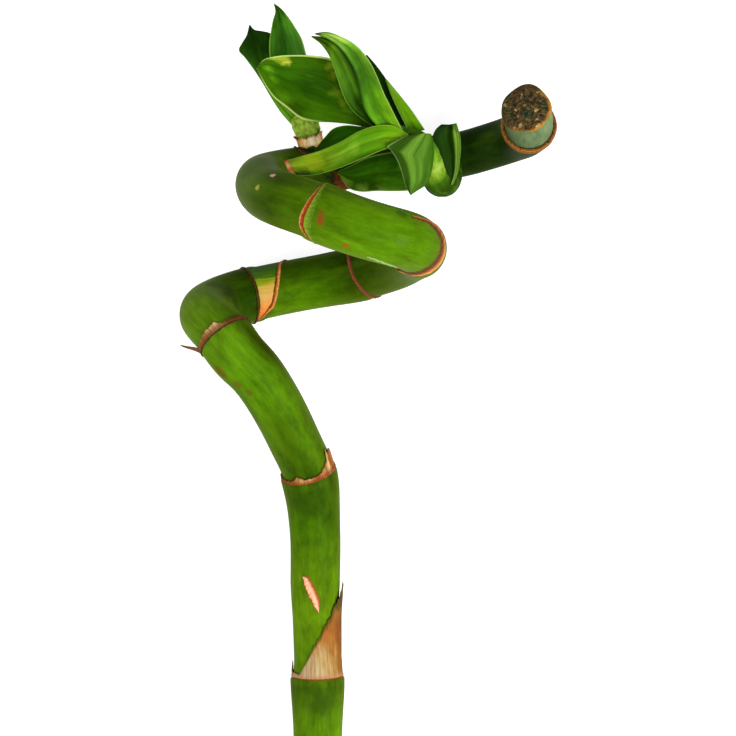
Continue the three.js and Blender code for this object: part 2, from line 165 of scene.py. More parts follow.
def on_cane(along, angle, lift=0.0):
    """Points on the rind: along in mm from the lower cut, angle in radians from the top towards the side."""
    along, angle = np.broadcast_arrays(along, angle)
    centre = vectors_at(along, cane_rows, cane_centres)
    top = vectors_at(along, cane_rows, cane_tops)
    side = vectors_at(along, cane_rows, cane_sides)
    outward = top * np.cos(angle)[..., None] + side * np.sin(angle)[..., None]
    oval = 1 + 0.008 * np.sin(2 * angle + 0.11 * along) + 0.005 * np.sin(3 * angle - 0.07 * along)
    from_cut = np.minimum(along, cane_length - along)
    rounding = np.clip(1 - from_cut / CUT_EDGE, 0, 1) ** 2 * CUT_EDGE * 0.6
    near_top = np.clip(1 - (cane_length - along) / SCAB_DEPTH, 0, 1) ** 2
    peak = np.exp(-(1 - np.cos(angle - SCAB_PEAK_ANGLE)) / SCAB_PEAK_WIDTH)
    scab = near_top * (SCAB_BULGE + SCAB_PEAK * peak + SCAB_LUMPS * np.sin(5 * angle + 1))
    radius = cane_radius(along) * oval - rounding + scab + lift
    return centre + outward * radius[..., None]


def make_piece(name, points, faces, material, painted):
    """An object made of points in the drawing's mm. painted holds the vectors its material reads."""
    mesh = bpy.data.meshes.new(name)
    points = (np.reshape(points, (-1, 3)) + DRAWING_ORIGIN) * MM
    mesh.from_pydata(points.tolist(), [], faces)
    mesh.shade_smooth()
    mesh.set_sharp_from_angle(angle=CREASE_ANGLE)
    for label, vectors in painted.items():
        layer = mesh.attributes.new(label, "FLOAT_VECTOR", "POINT")
        layer.data.foreach_set("vector", np.ravel(vectors))
    mesh.materials.append(material)
    piece = bpy.data.objects.new(name, mesh)
    bpy.context.scene.collection.objects.link(piece)
    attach(piece, "root")
    return piece


def tube_faces(rows, sides):
    """The faces of a tube of rings of points."""
    faces = []
    for i in range(rows - 1):
        for j in range(sides):
            k = (j + 1) % sides
            faces.append((i * sides + j, i * sides + k, (i + 1) * sides + k, (i + 1) * sides + j))
    return faces


def linear(colour):
    """An sRGB colour written as #rrggbb, as linear red, green, blue and a full alpha."""
    parts = [int(colour[i : i + 2], 16) / 255 for i in (1, 3, 5)]
    return [c / 12.92 if c <= 0.04045 else ((c + 0.055) / 1.055) ** 2.4 for c in parts] + [1.0]


def add_node(material, kind, inputs=(), stops=None, **settings):
    """Adds a node. Inputs go in socket order or by name: values, #rrggbb colours, nodes or their outputs."""
    node = material.node_tree.nodes.new("ShaderNode" + kind)
    for name, value in settings.items():
        setattr(node, name, value)
    for socket, value in inputs.items() if isinstance(inputs, dict) else enumerate(inputs):
        if isinstance(value, bpy.types.Node):
            value = value.outputs[0]
        if isinstance(value, bpy.types.NodeSocket):
            material.node_tree.links.new(value, node.inputs[socket])
        else:
            node.inputs[socket].default_value = linear(value) if isinstance(value, str) else value
    if stops:
        ramp = node.color_ramp.elements
        while len(ramp) < len(stops):
            ramp.new(1.0)
        for element, (place, colour) in zip(ramp, stops):
            element.position = place
            element.color = linear(colour)
    return node


def blank_material(name, painted):
    """A material, add_node for it, and the vector painted on its piece that it reads, with its parts."""
    material = bpy.data.materials.new(name)
    material.use_nodes = True
    material.node_tree.nodes.clear()
    add = partial(add_node, material)
    vector = add("Attribute", attribute_name=painted).outputs["Vector"]
    return material, add, vector, add("SeparateXYZ", [vector]).outputs


def finish_material(add, colour, roughness, grain, strength, depth, specular, ior=1.5):
    """Ends a material with its surface: the colour, the shine, and a grain in relief, its depth in mm."""
    bump = add("Bump", {"Height": grain, "Strength": strength, "Distance": depth * MM})
    surface = {"Base Color": colour, "Roughness": roughness, "Normal": bump, "IOR": ior}
    surface["Specular IOR Level"] = specular
    add("OutputMaterial", [add("BsdfPrincipled", surface)])


# Waxy rind: a thin natural wax over living green bark, so it is satin; its soft broad highlights are painted
# into the colour as pale lengthwise bands. The green is deep under each joint and greyer where the wax is
# thick, on the two bends, and the flanks are painted olive as a painted rim light.
# Fine fibres run along it, about 0.7 mm apart and 15 mm long, among blotches 2 mm wide.
# Tones along the cane: its own greens, with painted shade on the back passes where the front pass lies over
# them
RIND_TONES_AND_SHADE = [
    (0, "#3d6005"), (46, "#3f6004"), (53, "#304905"), (56, "#2a4203"), (59, "#405e04"), (72, "#466404"),
    (84, "#3f5e04"), (96, "#2d4c02"), (105, "#233b02"), (109, "#2d4803"), (122, "#335003"),
    (140, "#3c6004"), (155, "#4a6a0c"), (163, "#3e5808"), (171, "#213c01"),
    (178, "#1a3201"), (182, "#375403"), (195, "#2e4c01"), (206, "#1d2f01"), (214, "#1c3101"),
    (234, "#253d01"), (246, "#416804"), (256, "#406504"), (269, "#3c5b03"), (278, "#243c02"),
    (288, "#2c4805"), (296, "#2e4a05"), (306, "#355004"), (322, "#273e03"), (350, "#152a01"),
    (384, "#16280a"), (386.6, "#4c5c3c"),
]
# Painted light and shade: each stretch of the cane is painted paler on the side that faces the light and
# darker on the other, with a painted highlight on the stub's right side: the place along the cane, and which
# way and how much
PAINTED_LIGHT_SIDES = [
    (0, (0.1, 0, -0.1)), (90, (0, 0, 0)), (100, (-0.2, 0, 0)), (112, (0, 0, 0)), (172, (-0.3, 0, -0.1)),
    (182, (0, -0.7, 0)), (206, (0, -0.6, 0)), (230, (0, -0.3, 0)), (242, (-0.1, 0, 0)),
    (386, (0, 0, 0)), (388, (0.35, 0, 0)), (395, (0.35, 0, 0)),
]
# Lengthwise bands of painted highlight and painted shade: from, to, angle, width and strength (below nought
# for shade)
PAINTED_LIGHT_BANDS = [
    (-10, 60, 60, 25, 0.35), (-10, 60, 5, 25, -0.15), (58, 106, 0, 24, -0.1), (60, 92, -55, 25, 0.2),
    (88, 112, -62, 25, 0.3), (88, 112, 58, 30, -0.25), (106, 150, 38, 20, 0.4), (106, 132, -6, 24, -0.6),
    (134, 152, 82, 24, -0.9), (150, 170, 45, 25, 0.3), (154, 172, 104, 24, -0.8), (184, 200, 150, 30, 0.4),
    (340, 384, 105, 24, -0.4),
]
BAND_FADE = 6
# Where the wax is thick enough to look grey: the place along the cane, its reach and its strength
GREY_WAX = [(161, 7, 0.15), (293, 10, 0.3), (224, 5, 0.1)]
# How strongly the flanks are painted olive along the cane, as a painted rim light
OLIVE_RIM_LIGHT = [(0, 1), (300, 1), (345, 0.15), (395, 0.15)]


def rind_paint(along, angle, outward):
    """The painted light and shade, how grey with wax, and the painted olive rim light of the rind at a
    place, each as a share.
    """
    places, ways = zip(*PAINTED_LIGHT_SIDES)
    pale = np.sum(vectors_at(along, places, np.array(ways)) * outward, axis=-1)
    for start, end, middle, width, strength in PAINTED_LIGHT_BANDS:
        turn = np.degrees(angle) - middle
        turn = (turn + 180) % 360 - 180
        ends = np.clip((along - start) / BAND_FADE, 0, 1) * np.clip((end - along) / BAND_FADE, 0, 1)
        pale = pale + strength * ends * np.exp(-((turn / width) ** 2))
    grey = sum(strength * np.exp(-(((along - place) / reach) ** 2)) for place, reach, strength in GREY_WAX)
    olive = (1 - np.abs(outward[..., 2])) ** 2 * read(OLIVE_RIM_LIGHT, along)
    return np.stack([pale, grey + 0 * angle, olive], axis=-1)


rind, add, unrolled, (_, _, rind_along) = blank_material("waxy_green_rind", "unrolled")
along_share = add("Math", [rind_along, 1 / cane_length], operation="MULTIPLY")
rind_stops = [(place / cane_length, tone) for place, tone in RIND_TONES_AND_SHADE]
rind_green = add("ValToRGB", [along_share], rind_stops)
# Fibres, broad shades and blotches: width and length in mm, detail, roughness, darkest and lightest
RIND_GRAINS = [(0.7, 15, 3, 0.55, 0.9, 1.1), (5, 22, 2, 0.5, 0.84, 1.16), (2, 4, 6, 0.68, 0.66, 1.32)]
grains = []
for wide, long, detail, roughness, darkest, lightest in RIND_GRAINS:
    space = add("Mapping", {"Vector": unrolled, "Scale": (1 / wide, 1 / wide, 1 / long)})
    grain = add("TexNoise", {"Vector": space, "Scale": 1, "Detail": detail, "Roughness": roughness})
    grains.append(grain)
    light = add("MapRange", [grain, 0.3, 0.7, darkest, lightest])
    rind_green = add("HueSaturation", {"Color": rind_green, "Value": light})
fibres, broad, blotches = grains
# The painted light and shade, the grey wax and the painted olive rim light, as rind_paint laid them on
painted_light_and_wax = add("Attribute", attribute_name="painted_light_and_wax").outputs["Vector"]
pale, waxy, olive = add("SeparateXYZ", [painted_light_and_wax]).outputs
painted_light_value = add("MapRange", [pale, -1, 1, 0.2, 1.8])
shaded = add("HueSaturation", {"Color": rind_green, "Value": painted_light_value})
olive_share = add("Math", [olive, 0.55], operation="MULTIPLY")
olived = add("MixRGB", [olive_share, shaded, "#56600a"])
yellow_share = add("MapRange", [broad, 0.52, 0.75, 0, 0.35])
yellowed = add("MixRGB", [yellow_share, olived, "#4c6c08"])
wax_patches = add("MapRange", [blotches, 0.38, 0.62, 0.2, 1.6])
wax_share = add("Math", [waxy, wax_patches], operation="MULTIPLY")
rind_green = add("MixRGB", [wax_share, yellowed, "#465826"])
# Old marks: rubbed places, specks and healed nicks, and two painted shadows, below the left shoot's bracts
# and by the start of the right end's band, with angle, place, size in mm, colour and strength
RIND_MARKS_AND_SHADOWS = [
    (-40, 143.3, 1.3, "#5a200c", 0.6), (-30, 139.8, 1.2, "#542810", 0.5), (-22, 136.5, 0.9, "#4a3010", 0.5),
    (-88, 281.4, 0.7, "#8a8c3c", 0.9), (-50, 280.2, 0.7, "#c89890", 0.9), (-90, 265.7, 0.5, "#6a3410", 0.9),
    (-99, 265.4, 0.55, "#6a3410", 0.9), (-138, 260.4, 0.7, "#7c3810", 0.9), (8, 52, 3, "#1e3204", 0.5),
    # The mark at 322.3 mm is a painted shadow below the left shoot's bracts
    (-12, 101, 3.5, "#1e3204", 0.5), (-12, 322.3, 2.4, "#161c16", 0.85), (-3, 55.4, 1.8, "#1c3004", 0.5),
    (71, 164.5, 2.4, "#20341a", 0.4), (97, 167, 2.2, "#1c3018", 0.4), (133, 167.5, 2.2, "#162c06", 0.5),
    (-107, 265.3, 0.55, "#6a3410", 0.9), (-114, 265.3, 0.45, "#6a3410", 0.8),
    # The mark at 252.2 mm, angle -36, is a painted shadow by the start of the right end's band
    (-36, 252.2, 1.4, "#223c06", 0.6), (-95, 252, 1.3, "#46641a", 0.5),
    (55, 178.6, 1.0, "#8a2c0c", 0.9), (60, 179.9, 0.8, "#8a2c0c", 0.8), (86, 177.6, 0.7, "#7a2c0c", 0.7),
]
wander = add("TexNoise", {"Vector": unrolled, "Scale": 1.1, "Detail": 2})
wandered = add("VectorMath", [unrolled, wander.outputs["Color"]], operation="ADD")
for angle, along, size, colour, strength in RIND_MARKS_AND_SHADOWS:
    radius = float(cane_radius(np.array(float(along))))
    turn = math.radians(angle)
    middle = (radius * math.cos(turn) + 0.5, radius * math.sin(turn) + 0.5, along + 0.5)
    distance = add("VectorMath", [wandered, middle], operation="DISTANCE").outputs["Value"]
    inside = add("MapRange", [distance, size * 1.25, size * 0.6, 0, strength])
    rind_green = add("MixRGB", [inside, rind_green, colour])
rind_gloss = add("MapRange", [blotches, 0.3, 0.7, 0.36, 0.5])
finish_material(add, rind_green, rind_gloss, fibres, strength=0.35, depth=0.12, specular=0.007, ior=1.45)

# Sawn pith: the lower cut is fresh, cream and full of fibre ends
fresh_cut, add, fresh_place, _ = blank_material("fresh_cut_pith", "unrolled")
fresh_dots = add("TexVoronoi", {"Vector": fresh_place, "Scale": 1.6})
fresh_tones = [(0, "#8c7a3a"), (0.25, "#c9c07a"), (0.6, "#d8d49a"), (1, "#c3c47c")]
fresh_colour = add("ValToRGB", [fresh_dots], fresh_tones)
finish_material(add, fresh_colour, 0.7, fresh_dots, strength=0.5, depth=0.1, specular=0.07)

# The upper cut is old: dried to a brown scab in clumps 2 mm wide, with green algae in it, and an
# orange-brown rim of dead rind
old_cut, add, old_place, (old_side, _, _) = blank_material("weathered_cut_pith", "unrolled")
flat = add("VectorMath", [old_place, (1, 1, 0)], operation="MULTIPLY")
from_centre = add("VectorMath", [flat], operation="LENGTH").outputs["Value"]
clumps = add("TexNoise", {"Vector": old_place, "Scale": 0.52, "Detail": 6})
old_grain = add("TexNoise", {"Vector": old_place, "Scale": 1.3, "Detail": 5})
old_tones = [
    (0.3, "#162218"), (0.38, "#34401e"), (0.44, "#1e1810"), (0.5, "#4c401e"), (0.54, "#34201a"),
    (0.59, "#4e3c1a"), (0.66, "#948850"),
]
old_colour = add("ValToRGB", [clumps], old_tones)
old_pits = add("MapRange", [old_grain, 0.35, 0.62, 0.4, 1.5])
old_pitted = add("HueSaturation", {"Color": old_colour, "Value": old_pits})
uneven = add("Math", [from_centre, clumps], operation="ADD")
old_rim = add("MapRange", [uneven, 5.3, 6, 0, 0.85])
old_sunny = add("MapRange", [old_side, 1, -4])
rim_colour = add("MixRGB", [old_sunny, "#3c2a10", "#b07424"])
old_rimmed = add("MixRGB", [old_rim, old_pitted, rim_colour])
finish_material(add, old_rimmed, 0.85, old_grain, strength=1, depth=0.9, specular=0.08)

CUT_RINGS = [0.93, 0.84, 0.74, 0.62, 0.5, 0.37, 0.24, 0.12]
cane_angles = np.linspace(0, 2 * np.pi, CANE_SIDES, endpoint=False)
cane_along = cane_rows[:, None] + 0 * cane_angles
cane_surface = on_cane(cane_along, cane_angles)
around = cane_surface - cane_centres[:, None]
across_top = np.einsum("ijk,ik->ij", around, cane_tops)
across_side = np.einsum("ijk,ik->ij", around, cane_sides)
cane_unrolled = np.stack([across_top, across_side, cane_along], axis=-1)
# Painted light and shade, grey wax and painted rim light at each point of the rind
cane_light_and_wax = rind_paint(cane_along, cane_angles + 0 * cane_along, unit(around))
cane_points = [cane_surface.reshape(-1, 3)]
cane_painted = [cane_unrolled.reshape(-1, 3)]
cane_faces = tube_faces(len(cane_rows), CANE_SIDES)
side_face_count = len(cane_faces)


def close_cut(row, outward, dome, lumps):
    """Rings of points from the rim of a cut to its middle, and the faces between them."""
    starts = [row * CANE_SIDES]
    for share in CUT_RINGS:
        starts.append(sum(len(points) for points in cane_points))
        height = dome * (1 - share**2) + lumps * np.sin(3 * cane_angles + 5 * share) * share * (1 - share)
        cane_points.append(cane_centres[row] + around[row] * share + outward * height[:, None])
        cane_painted.append(cane_unrolled[row] * [share, share, 1])
    middle = starts[-1] + CANE_SIDES
    cane_points.append(cane_centres[row][None] + outward * dome)
    cane_painted.append(cane_unrolled[row][:1] * [0, 0, 1])
    faces = []
    for outer, inner in zip(starts, starts[1:]):
        for j in range(CANE_SIDES):
            k = (j + 1) % CANE_SIDES
            faces.append((outer + j, outer + k, inner + k, inner + j))
    for j in range(CANE_SIDES):
        faces.append((starts[-1] + j, starts[-1] + (j + 1) % CANE_SIDES, middle))
    return faces


top_cut_faces = close_cut(len(cane_rows) - 1, cane_tangents[-1], dome=0.7, lumps=1.2)
cane_faces += top_cut_faces
low_cut_faces = close_cut(0, -cane_tangents[0], dome=0.1, lumps=0)
cane_faces += [face[::-1] for face in low_cut_faces]
cut_points = sum(len(points) for points in cane_points[1:])
cane_light_and_wax = np.vstack([cane_light_and_wax.reshape(-1, 3), np.zeros((cut_points, 3))])
cane_paint = {"unrolled": np.vstack(cane_painted), "painted_light_and_wax": cane_light_and_wax}
cane = make_piece("spiral_cane", np.vstack(cane_points), cane_faces, rind, cane_paint)
cane.data.materials.append(old_cut)
cane.data.materials.append(fresh_cut)
cut_numbers = np.zeros(len(cane_faces), int)
cut_numbers[side_face_count:] = 1
cut_numbers[side_face_count + len(top_cut_faces) :] = 2
cane.data.polygons.foreach_set("material_index", cut_numbers)
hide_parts("cane")

# Joint scars
# Where an old leaf was shed, its base leaves a corky line right round the joint, rust red to orange and
# slightly proud of the rind. On the spiral some still hold a thin crust of the dead leaf base.
SCAR_LIFT = 0.28
SCAR_SUNK = 0.08
SCAR_ROOT = -0.3
UNROLLED_RADIUS = 6
BAND_POINTS = 60


def wobble(places, seed):
    """A smooth uneven wave between about -1 and 1, the same for the same seed."""
    random = np.random.default_rng(seed)
    wave = np.zeros_like(places)
    for step in range(1, 7):
        wave += np.sin(places * step * 2.1 + random.uniform(0, 6.28)) / step**0.5
    return wave / 2.6


def even_path(path, count):
    """Evenly spaced (angle, along) places on a smooth line through a few of them."""
    line = smooth_line([(math.radians(angle) * UNROLLED_RADIUS, along, 0) for angle, along in path])
    places = at_places(line, np.linspace(0, lengths(line)[-1], count))
    return np.stack([places[:, 0] / UNROLLED_RADIUS, places[:, 1]], axis=-1)


def sheet_faces(rows, columns):
    """The faces of a closed sheet: an upper grid of points, then a lower one, joined round the rim."""
    wide = columns + 1
    below = (rows + 1) * wide
    faces = []
    for i in range(rows):
        for j in range(columns):
            quad = (i * wide + j, (i + 1) * wide + j, (i + 1) * wide + j + 1, i * wide + j + 1)
            faces.append(quad)
            faces.append(tuple(below + corner for corner in quad[::-1]))
    rim = [(i, 0) for i in range(rows + 1)] + [(rows, j) for j in range(1, wide)]
    rim += [(i, columns) for i in range(rows - 1, -1, -1)] + [(0, j) for j in range(columns - 1, 0, -1)]
    rim = [i * wide + j for i, j in rim]
    for a, b in zip(rim, rim[1:] + rim[:1]):
        faces.append((b, a, below + a, below + b))
    return faces


def patch_on_cane(name, edges, material, lift, rows=8, count=120, seed=1, rough=0.1):
    """A thin crust on the rind between two edges, each a list of (angle, along) places."""
    lower = even_path(edges[0], count)
    upper = even_path(edges[1], count)
    walked = lengths(np.stack([lower[:, 0] * UNROLLED_RADIUS, lower[:, 1], 0 * lower[:, 1]], axis=-1))
    lower[:, 1] += rough * wobble(walked, seed)
    upper[:, 1] += rough * wobble(walked, seed + 1)
    across = np.linspace(0, 1, rows + 1)
    places = lower[:, None] * (1 - across[None, :, None]) + upper[:, None] * across[None, :, None]
    crown = np.sin(np.pi * across) ** 0.5
    uneven = 1 + 0.35 * wobble(walked * 1.7, seed + 2)[:, None]
    height = (lift + SCAR_SUNK) * crown[None, :] * uneven - SCAR_SUNK
    outer = on_cane(places[..., 1], places[..., 0], height)
    inner = on_cane(places[..., 1], places[..., 0], SCAR_ROOT)
    angle = places[..., 0]
    painted = np.stack([walked[:, None] + 0 * angle, across + 0 * angle, np.degrees(angle)], axis=-1)
    faces = sheet_faces(count - 1, rows)
    paint = {"crust": np.stack([painted] * 2)}
    return make_piece(name, np.stack([outer, inner]), faces, material, paint)


def band_edges(path, width, tapered=True):
    """Both edges of a narrow band along a path of (angle, along) places; its ends may taper off."""
    line = even_path(path, BAND_POINTS)
    flat = line * [UNROLLED_RADIUS, 1]
    ahead = unit(np.gradient(flat, axis=0))
    square = np.stack([-ahead[:, 1], ahead[:, 0]], axis=-1)
    half = np.full(len(line), width / 2)
    if tapered:
        half *= np.sin(np.linspace(0.03, np.pi - 0.03, len(line))) ** 0.45
    edges = [flat - square * half[:, None], flat + square * half[:, None]]
    return [[(math.degrees(x / UNROLLED_RADIUS), y) for x, y in edge] for edge in edges]


# Cork: dead cells of the leaf scar, dry and dull, darkest where the crust is cracked at its edges
def cork(name, tones, spread=0.22):
    """Corky crust, with its colours from the lower to the upper edge, and how far they stray."""
    skin, add, crust, (_, across, _) = blank_material(name, "crust")
    space = add("Mapping", {"Vector": crust, "Scale": (1.2, 2, 0)})
    flakes = add("TexNoise", {"Vector": space, "Scale": 1.3, "Detail": 5})
    shift = add("MapRange", [flakes, 0, 1, -spread, spread])
    place = add("Math", [across, shift], operation="ADD")
    colour = add("ValToRGB", [place], tones)
    light = add("MapRange", [flakes, 0.3, 0.7, 0.75, 1.2])
    flaked = add("HueSaturation", {"Color": colour, "Value": light})
    finish_material(add, flaked, 0.75, flakes, strength=0.8, depth=0.3, specular=0.08)
    return skin


rust_cork = cork("rust_red_cork", [(0, "#3c1c06"), (0.35, "#743610"), (0.6, "#945c38"), (1, "#4a2408")])
pink_cork = cork("pink_brown_cork", [(0, "#3c1c0c"), (0.35, "#744024"), (0.65, "#5c3018"), (1, "#44240e")])
dark_cork = cork("dark_brown_cork", [(0, "#241806"), (0.5, "#4c280e"), (1, "#3c2c0c")])
orange_cork = cork("orange_cork", [(0, "#6a2808"), (0.35, "#944814"), (0.7, "#b07a3c"), (1, "#6c4018")])
# A pale cream line for the painted highlight along the right end's edge
highlight_cork = cork("painted_highlight_cork", [(0, "#4c7018"), (0.5, "#98a470"), (1, "#4c7018")])
dull_cork = cork("green_brown_cork", [(0, "#22300a"), (0.5, "#2c2c0c"), (1, "#22300a")])

# The line at each joint: its width in mm, its cork, its seed, and its (angle, along) places
RING_SCARS = {
    "scar_base_joint": (0.8, rust_cork, 3, [(-180, 7.6), (-90, 7.9), (0, 8.2), (90, 7.9), (180, 7.6)]),
    "scar_lower_joint": (0.6, rust_cork, 5, [(-180, 57.7), (-90, 58), (0, 57.8), (90, 57.9), (180, 57.7)]),
    "scar_upper_joint": (0.7, rust_cork, 9, [(-180, 107.6), (0, 108), (60, 107.8), (180, 107.6)]),
    "scar_first_turn": (0.5, dark_cork, 13, [(-180, 148.4), (0, 148.5), (180, 148.4)]),
    "scar_fourth_joint": (0.7, dark_cork, 17, [
        (-180, 177), (-90, 177), (0, 177.2), (60, 177.4), (110, 177.6), (150, 177.2), (180, 177),
    ]),
    "scar_fifth_joint": (1.5, pink_cork, 21, [
        (-180, 208.6), (-90, 207.5), (0, 205.8), (76, 206.1), (98, 207), (131, 207.8), (160, 208.5),
        (180, 208.6),
    ]),
    "scar_shoot_joint": (0.6, dull_cork, 25, [
        (-180, 326), (-90, 322), (-4, 318.9), (50, 323), (90, 327), (135, 328), (180, 326),
    ]),
    "scar_right_shoot_joint": (0.9, dark_cork, 29, [
        (-180, 357), (-90, 356.6), (0, 357), (90, 356.6), (180, 357),
    ]),
}
for scar_name, (width, material, seed, path) in RING_SCARS.items():
    edges = band_edges(path, width, tapered=False)
    patch_on_cane(scar_name, edges, material, SCAR_LIFT, seed=seed, count=200)

# Shorter lines: the slanting edge above the fourth joint, the mark by the bud, and a painted highlight along
# the right end's edge
SHORT_LINES = {
    "line_fourth_joint": (1.3, orange_cork, 35, [
        (30, 188), (47, 186.6), (90, 184.8), (117, 183.6), (135, 182.7), (158, 181.4), (178, 178.7),
        (192, 177),
    ]),
    "bud_mark_shoot_joint": (1.2, rust_cork, 41, [(-10, 318.4), (2, 318.8), (12, 319.8)]),
    "painted_highlight_right_end": (0.6, highlight_cork, 49, [
        (-150, 256.5), (-156, 253.6), (-161, 251.2), (-165, 248.6),
    ]),
}
for scar_name, (width, material, seed, path) in SHORT_LINES.items():
    patch_on_cane(scar_name, band_edges(path, width), material, SCAR_LIFT, seed=seed)

# The broad scar round the right end lies as two lines of cork with paler skin between them
end_outer = [
    (-32, 249.8), (-28, 245.6), (-30, 242.1), (-45, 239.9), (-63, 237.9), (-101, 237.2), (-152, 237.4),
    (-189, 237.4), (-209, 235.7),
]
end_inner = [
    (-42, 249.8), (-46, 246), (-60, 244.2), (-77, 243.2), (-93, 243), (-110, 243.2), (-132, 243.4),
    (-153, 243.6), (-176, 242.2), (-194, 239.6), (-209, 236.6),
]
end_tones = [
    (0, "#7a5a2c"), (0.22, "#b07c40"), (0.45, "#9c6428"), (0.62, "#6c3410"), (0.8, "#46240a"),
    (1, "#4c4c14"),
]
end_cork = cork("twin_line_cork", end_tones, spread=0.12)
patch_on_cane("band_right_end", [end_outer, end_inner], end_cork, lift=0.3, seed=37)

# A dormant bud on the shoot joint: a small red three-cornered cushion of scales with a dry brown rim
bud_tones = [(0, "#2c1c0c"), (0.3, "#64341a"), (0.55, "#6e3418"), (0.8, "#4c2810"), (1, "#7c5830")]
bud_cork = cork("dry_bud_scales", bud_tones)
bud_low = [(60, 327.2), (74, 327.4), (90, 327), (104, 327.6), (114, 329.8)]
bud_high = [(60, 327.6), (70, 329.6), (82, 331), (94, 331.8), (106, 331.8), (114, 330.6)]
patch_on_cane("dormant_bud", [bud_low, bud_high], bud_cork, lift=0.9, rows=10, seed=45)

# The crescent on the front pass: a rust band with a light edge, and bare yellow-green skin beside it
crescent_edge = [
    (-12, 268.9), (-40, 268.6), (-63, 268.6), (-95, 269), (-127, 269.4), (-150, 268.4), (-176, 266.6),
]
crescent_inside = [
    (-12, 268.6), (-40, 267.6), (-63, 266.9), (-95, 266.6), (-127, 266.5), (-150, 266.2), (-176, 266.2),
]
crescent_tones = [
    (0, "#345406"), (0.25, "#4a6a0a"), (0.5, "#6c7c1a"), (0.58, "#5c2204"), (0.78, "#8c3408"),
    (0.87, "#b87c48"), (1, "#7a5420"),
]
crescent_cork = cork("crescent_cork", crescent_tones, spread=0.08)
crescent_edges = [crescent_inside, crescent_edge]
patch_on_cane("crescent_front", crescent_edges, crescent_cork, lift=0.14, rows=12, seed=43, rough=0.06)

# The wedge above the fourth joint: skin that the leaf base covered, green at the top of the view, then
# yellow and cream where the dead base still sticks
wedge_low = [(44, 177.2), (76, 177.6), (99, 178), (131, 178), (148, 177.9), (172, 177.4), (190, 177)]
wedge_high = [(44, 186.4), (76, 185), (99, 184), (131, 182.4), (148, 181.6), (172, 179.2), (190, 177.2)]
wedge, add, wedge_crust, (_, _, wedge_angle) = blank_material("leaf_base_skin", "crust")
wedge_space = add("Mapping", {"Vector": wedge_crust, "Scale": (1.6, 1.2, 0)})
wedge_grain = add("TexNoise", {"Vector": wedge_space, "Scale": 1, "Detail": 4})
wedge_shift = add("MapRange", [wedge_grain, 0, 1, -14, 14])
wedge_place = add("Math", [wedge_angle, wedge_shift], operation="ADD")
wedge_share = add("MapRange", [wedge_place, 44, 190])
wedge_tones = [
    (0, "#284606"), (0.3, "#365c08"), (0.4, "#76840e"), (0.46, "#a88c32"), (0.6, "#b08848"),
    (0.75, "#b87432"), (0.9, "#a8581c"),
]
wedge_colour = add("ValToRGB", [wedge_share], wedge_tones)
finish_material(add, wedge_colour, 0.6, wedge_grain, strength=0.5, depth=0.2, specular=0.07)
patch_on_cane("wedge_fourth_joint", [wedge_low, wedge_high], wedge, lift=0.12, rows=16, seed=47, rough=0.05)

# The healed cut on the straight part: a lens of pale dead skin with a dark red rim, and a painted shadow in
# dark olive along one edge
lens_left = [(-29, 82.3), (-27, 80.2), (-14, 77), (0, 74.6), (10, 73.6)]
lens_right = [(-29, 82.3), (-14, 82.2), (3, 79.4), (13, 76.4), (10, 73.6)]
lens_tones_and_shadow = [
    (0, "#3c4a0c"), (0.15, "#7a4416"), (0.3, "#c89068"), (0.6, "#c8987a"), (0.8, "#8a4820"),
    (1, "#6a2c10"),
]
lens_cork = cork("healed_cut_skin", lens_tones_and_shadow)
patch_on_cane("healed_cut", [lens_left, lens_right], lens_cork, lift=0.22, rows=12, seed=51, rough=0.05)

# Dry sheaths
# Leaf bases that died and stayed, wrapped round the cane just above four joints: papery tan sheets with
# lengthwise fibres and torn brown edges. Each grew from the joint below it and is held by its own wrap.
SHEATH_COLUMNS = 160
SHEATH_ROWS = 24


def sheet_piece(name, middle, outward, half, painted, material):
    """A thin closed sheet from the grid of its middle layer. Its underside is painted with a minus sign."""
    upper = middle + outward * half[..., None]
    lower = middle - outward * half[..., None]
    values = [(painted * [1, 1, way]).reshape(-1, 3) for way in (1, -1)]
    points = np.concatenate([upper.reshape(-1, 3), lower.reshape(-1, 3)])
    faces = sheet_faces(middle.shape[0] - 1, middle.shape[1] - 1)
    return make_piece(name, points, faces, material, {"sheet": np.concatenate(values)})


# Dry leaf sheath: papery and matt, its fibres 0.5 mm apart, cream where it is thick, brown at the tears
def papery(name, heights, colours, around_tones, up_tones=None, tall=1.0, fibre_turn=5):
    """Dry skin: tones round the stem, times those up it, and the colours of fibres, foot and torn edge."""
    fibre_colour, foot_colour, torn_colour = colours
    skin, add, place, (turn, height, share_up) = blank_material(name, "sheet")
    space = add("Mapping", {"Vector": place, "Scale": (1 / fibre_turn, 1 / 9, 0)})
    fibres = add("TexNoise", {"Vector": space, "Scale": 1, "Detail": 4, "Roughness": 0.7})
    blotch_space = add("Mapping", {"Vector": place, "Scale": (1 / 18, 1 / 4, 0)})
    blotches = add("TexNoise", {"Vector": blotch_space, "Scale": 1, "Detail": 3})
    drift = add("MapRange", [blotches, 0, 1, -35, 35])
    angle = add("Math", [turn, drift], operation="ADD")
    share = add("MapRange", [angle, heights[0][0], heights[-1][0]])
    tone = add("ValToRGB", [share], around_tones)
    if up_tones:
        climb = add("MapRange", [blotches, 0, 1, -0.2, 0.2])
        rise = add("Math", [height, 1 / tall, climb], operation="MULTIPLY_ADD")
        up_tone = add("ValToRGB", [rise], up_tones)
        tone = add("MixRGB", [1, tone, up_tone], blend_type="MULTIPLY")
    foot = add("MapRange", [height, 1.1, 0.3, 0, 0.8])
    footed = add("MixRGB", [foot, tone, foot_colour])
    lines = add("MapRange", [fibres, 0.42, 0.62, 0, 0.7])
    lined = add("MixRGB", [lines, footed, fibre_colour])
    either_side = add("Math", [share_up], operation="ABSOLUTE")
    tear = add("MapRange", [either_side, 1.36, 1.46, 0, 0.85])
    torn = add("MixRGB", [tear, lined, torn_colour])
    finish_material(add, torn, 0.8, fibres, strength=0.7, depth=0.25, specular=0.08)
    return skin


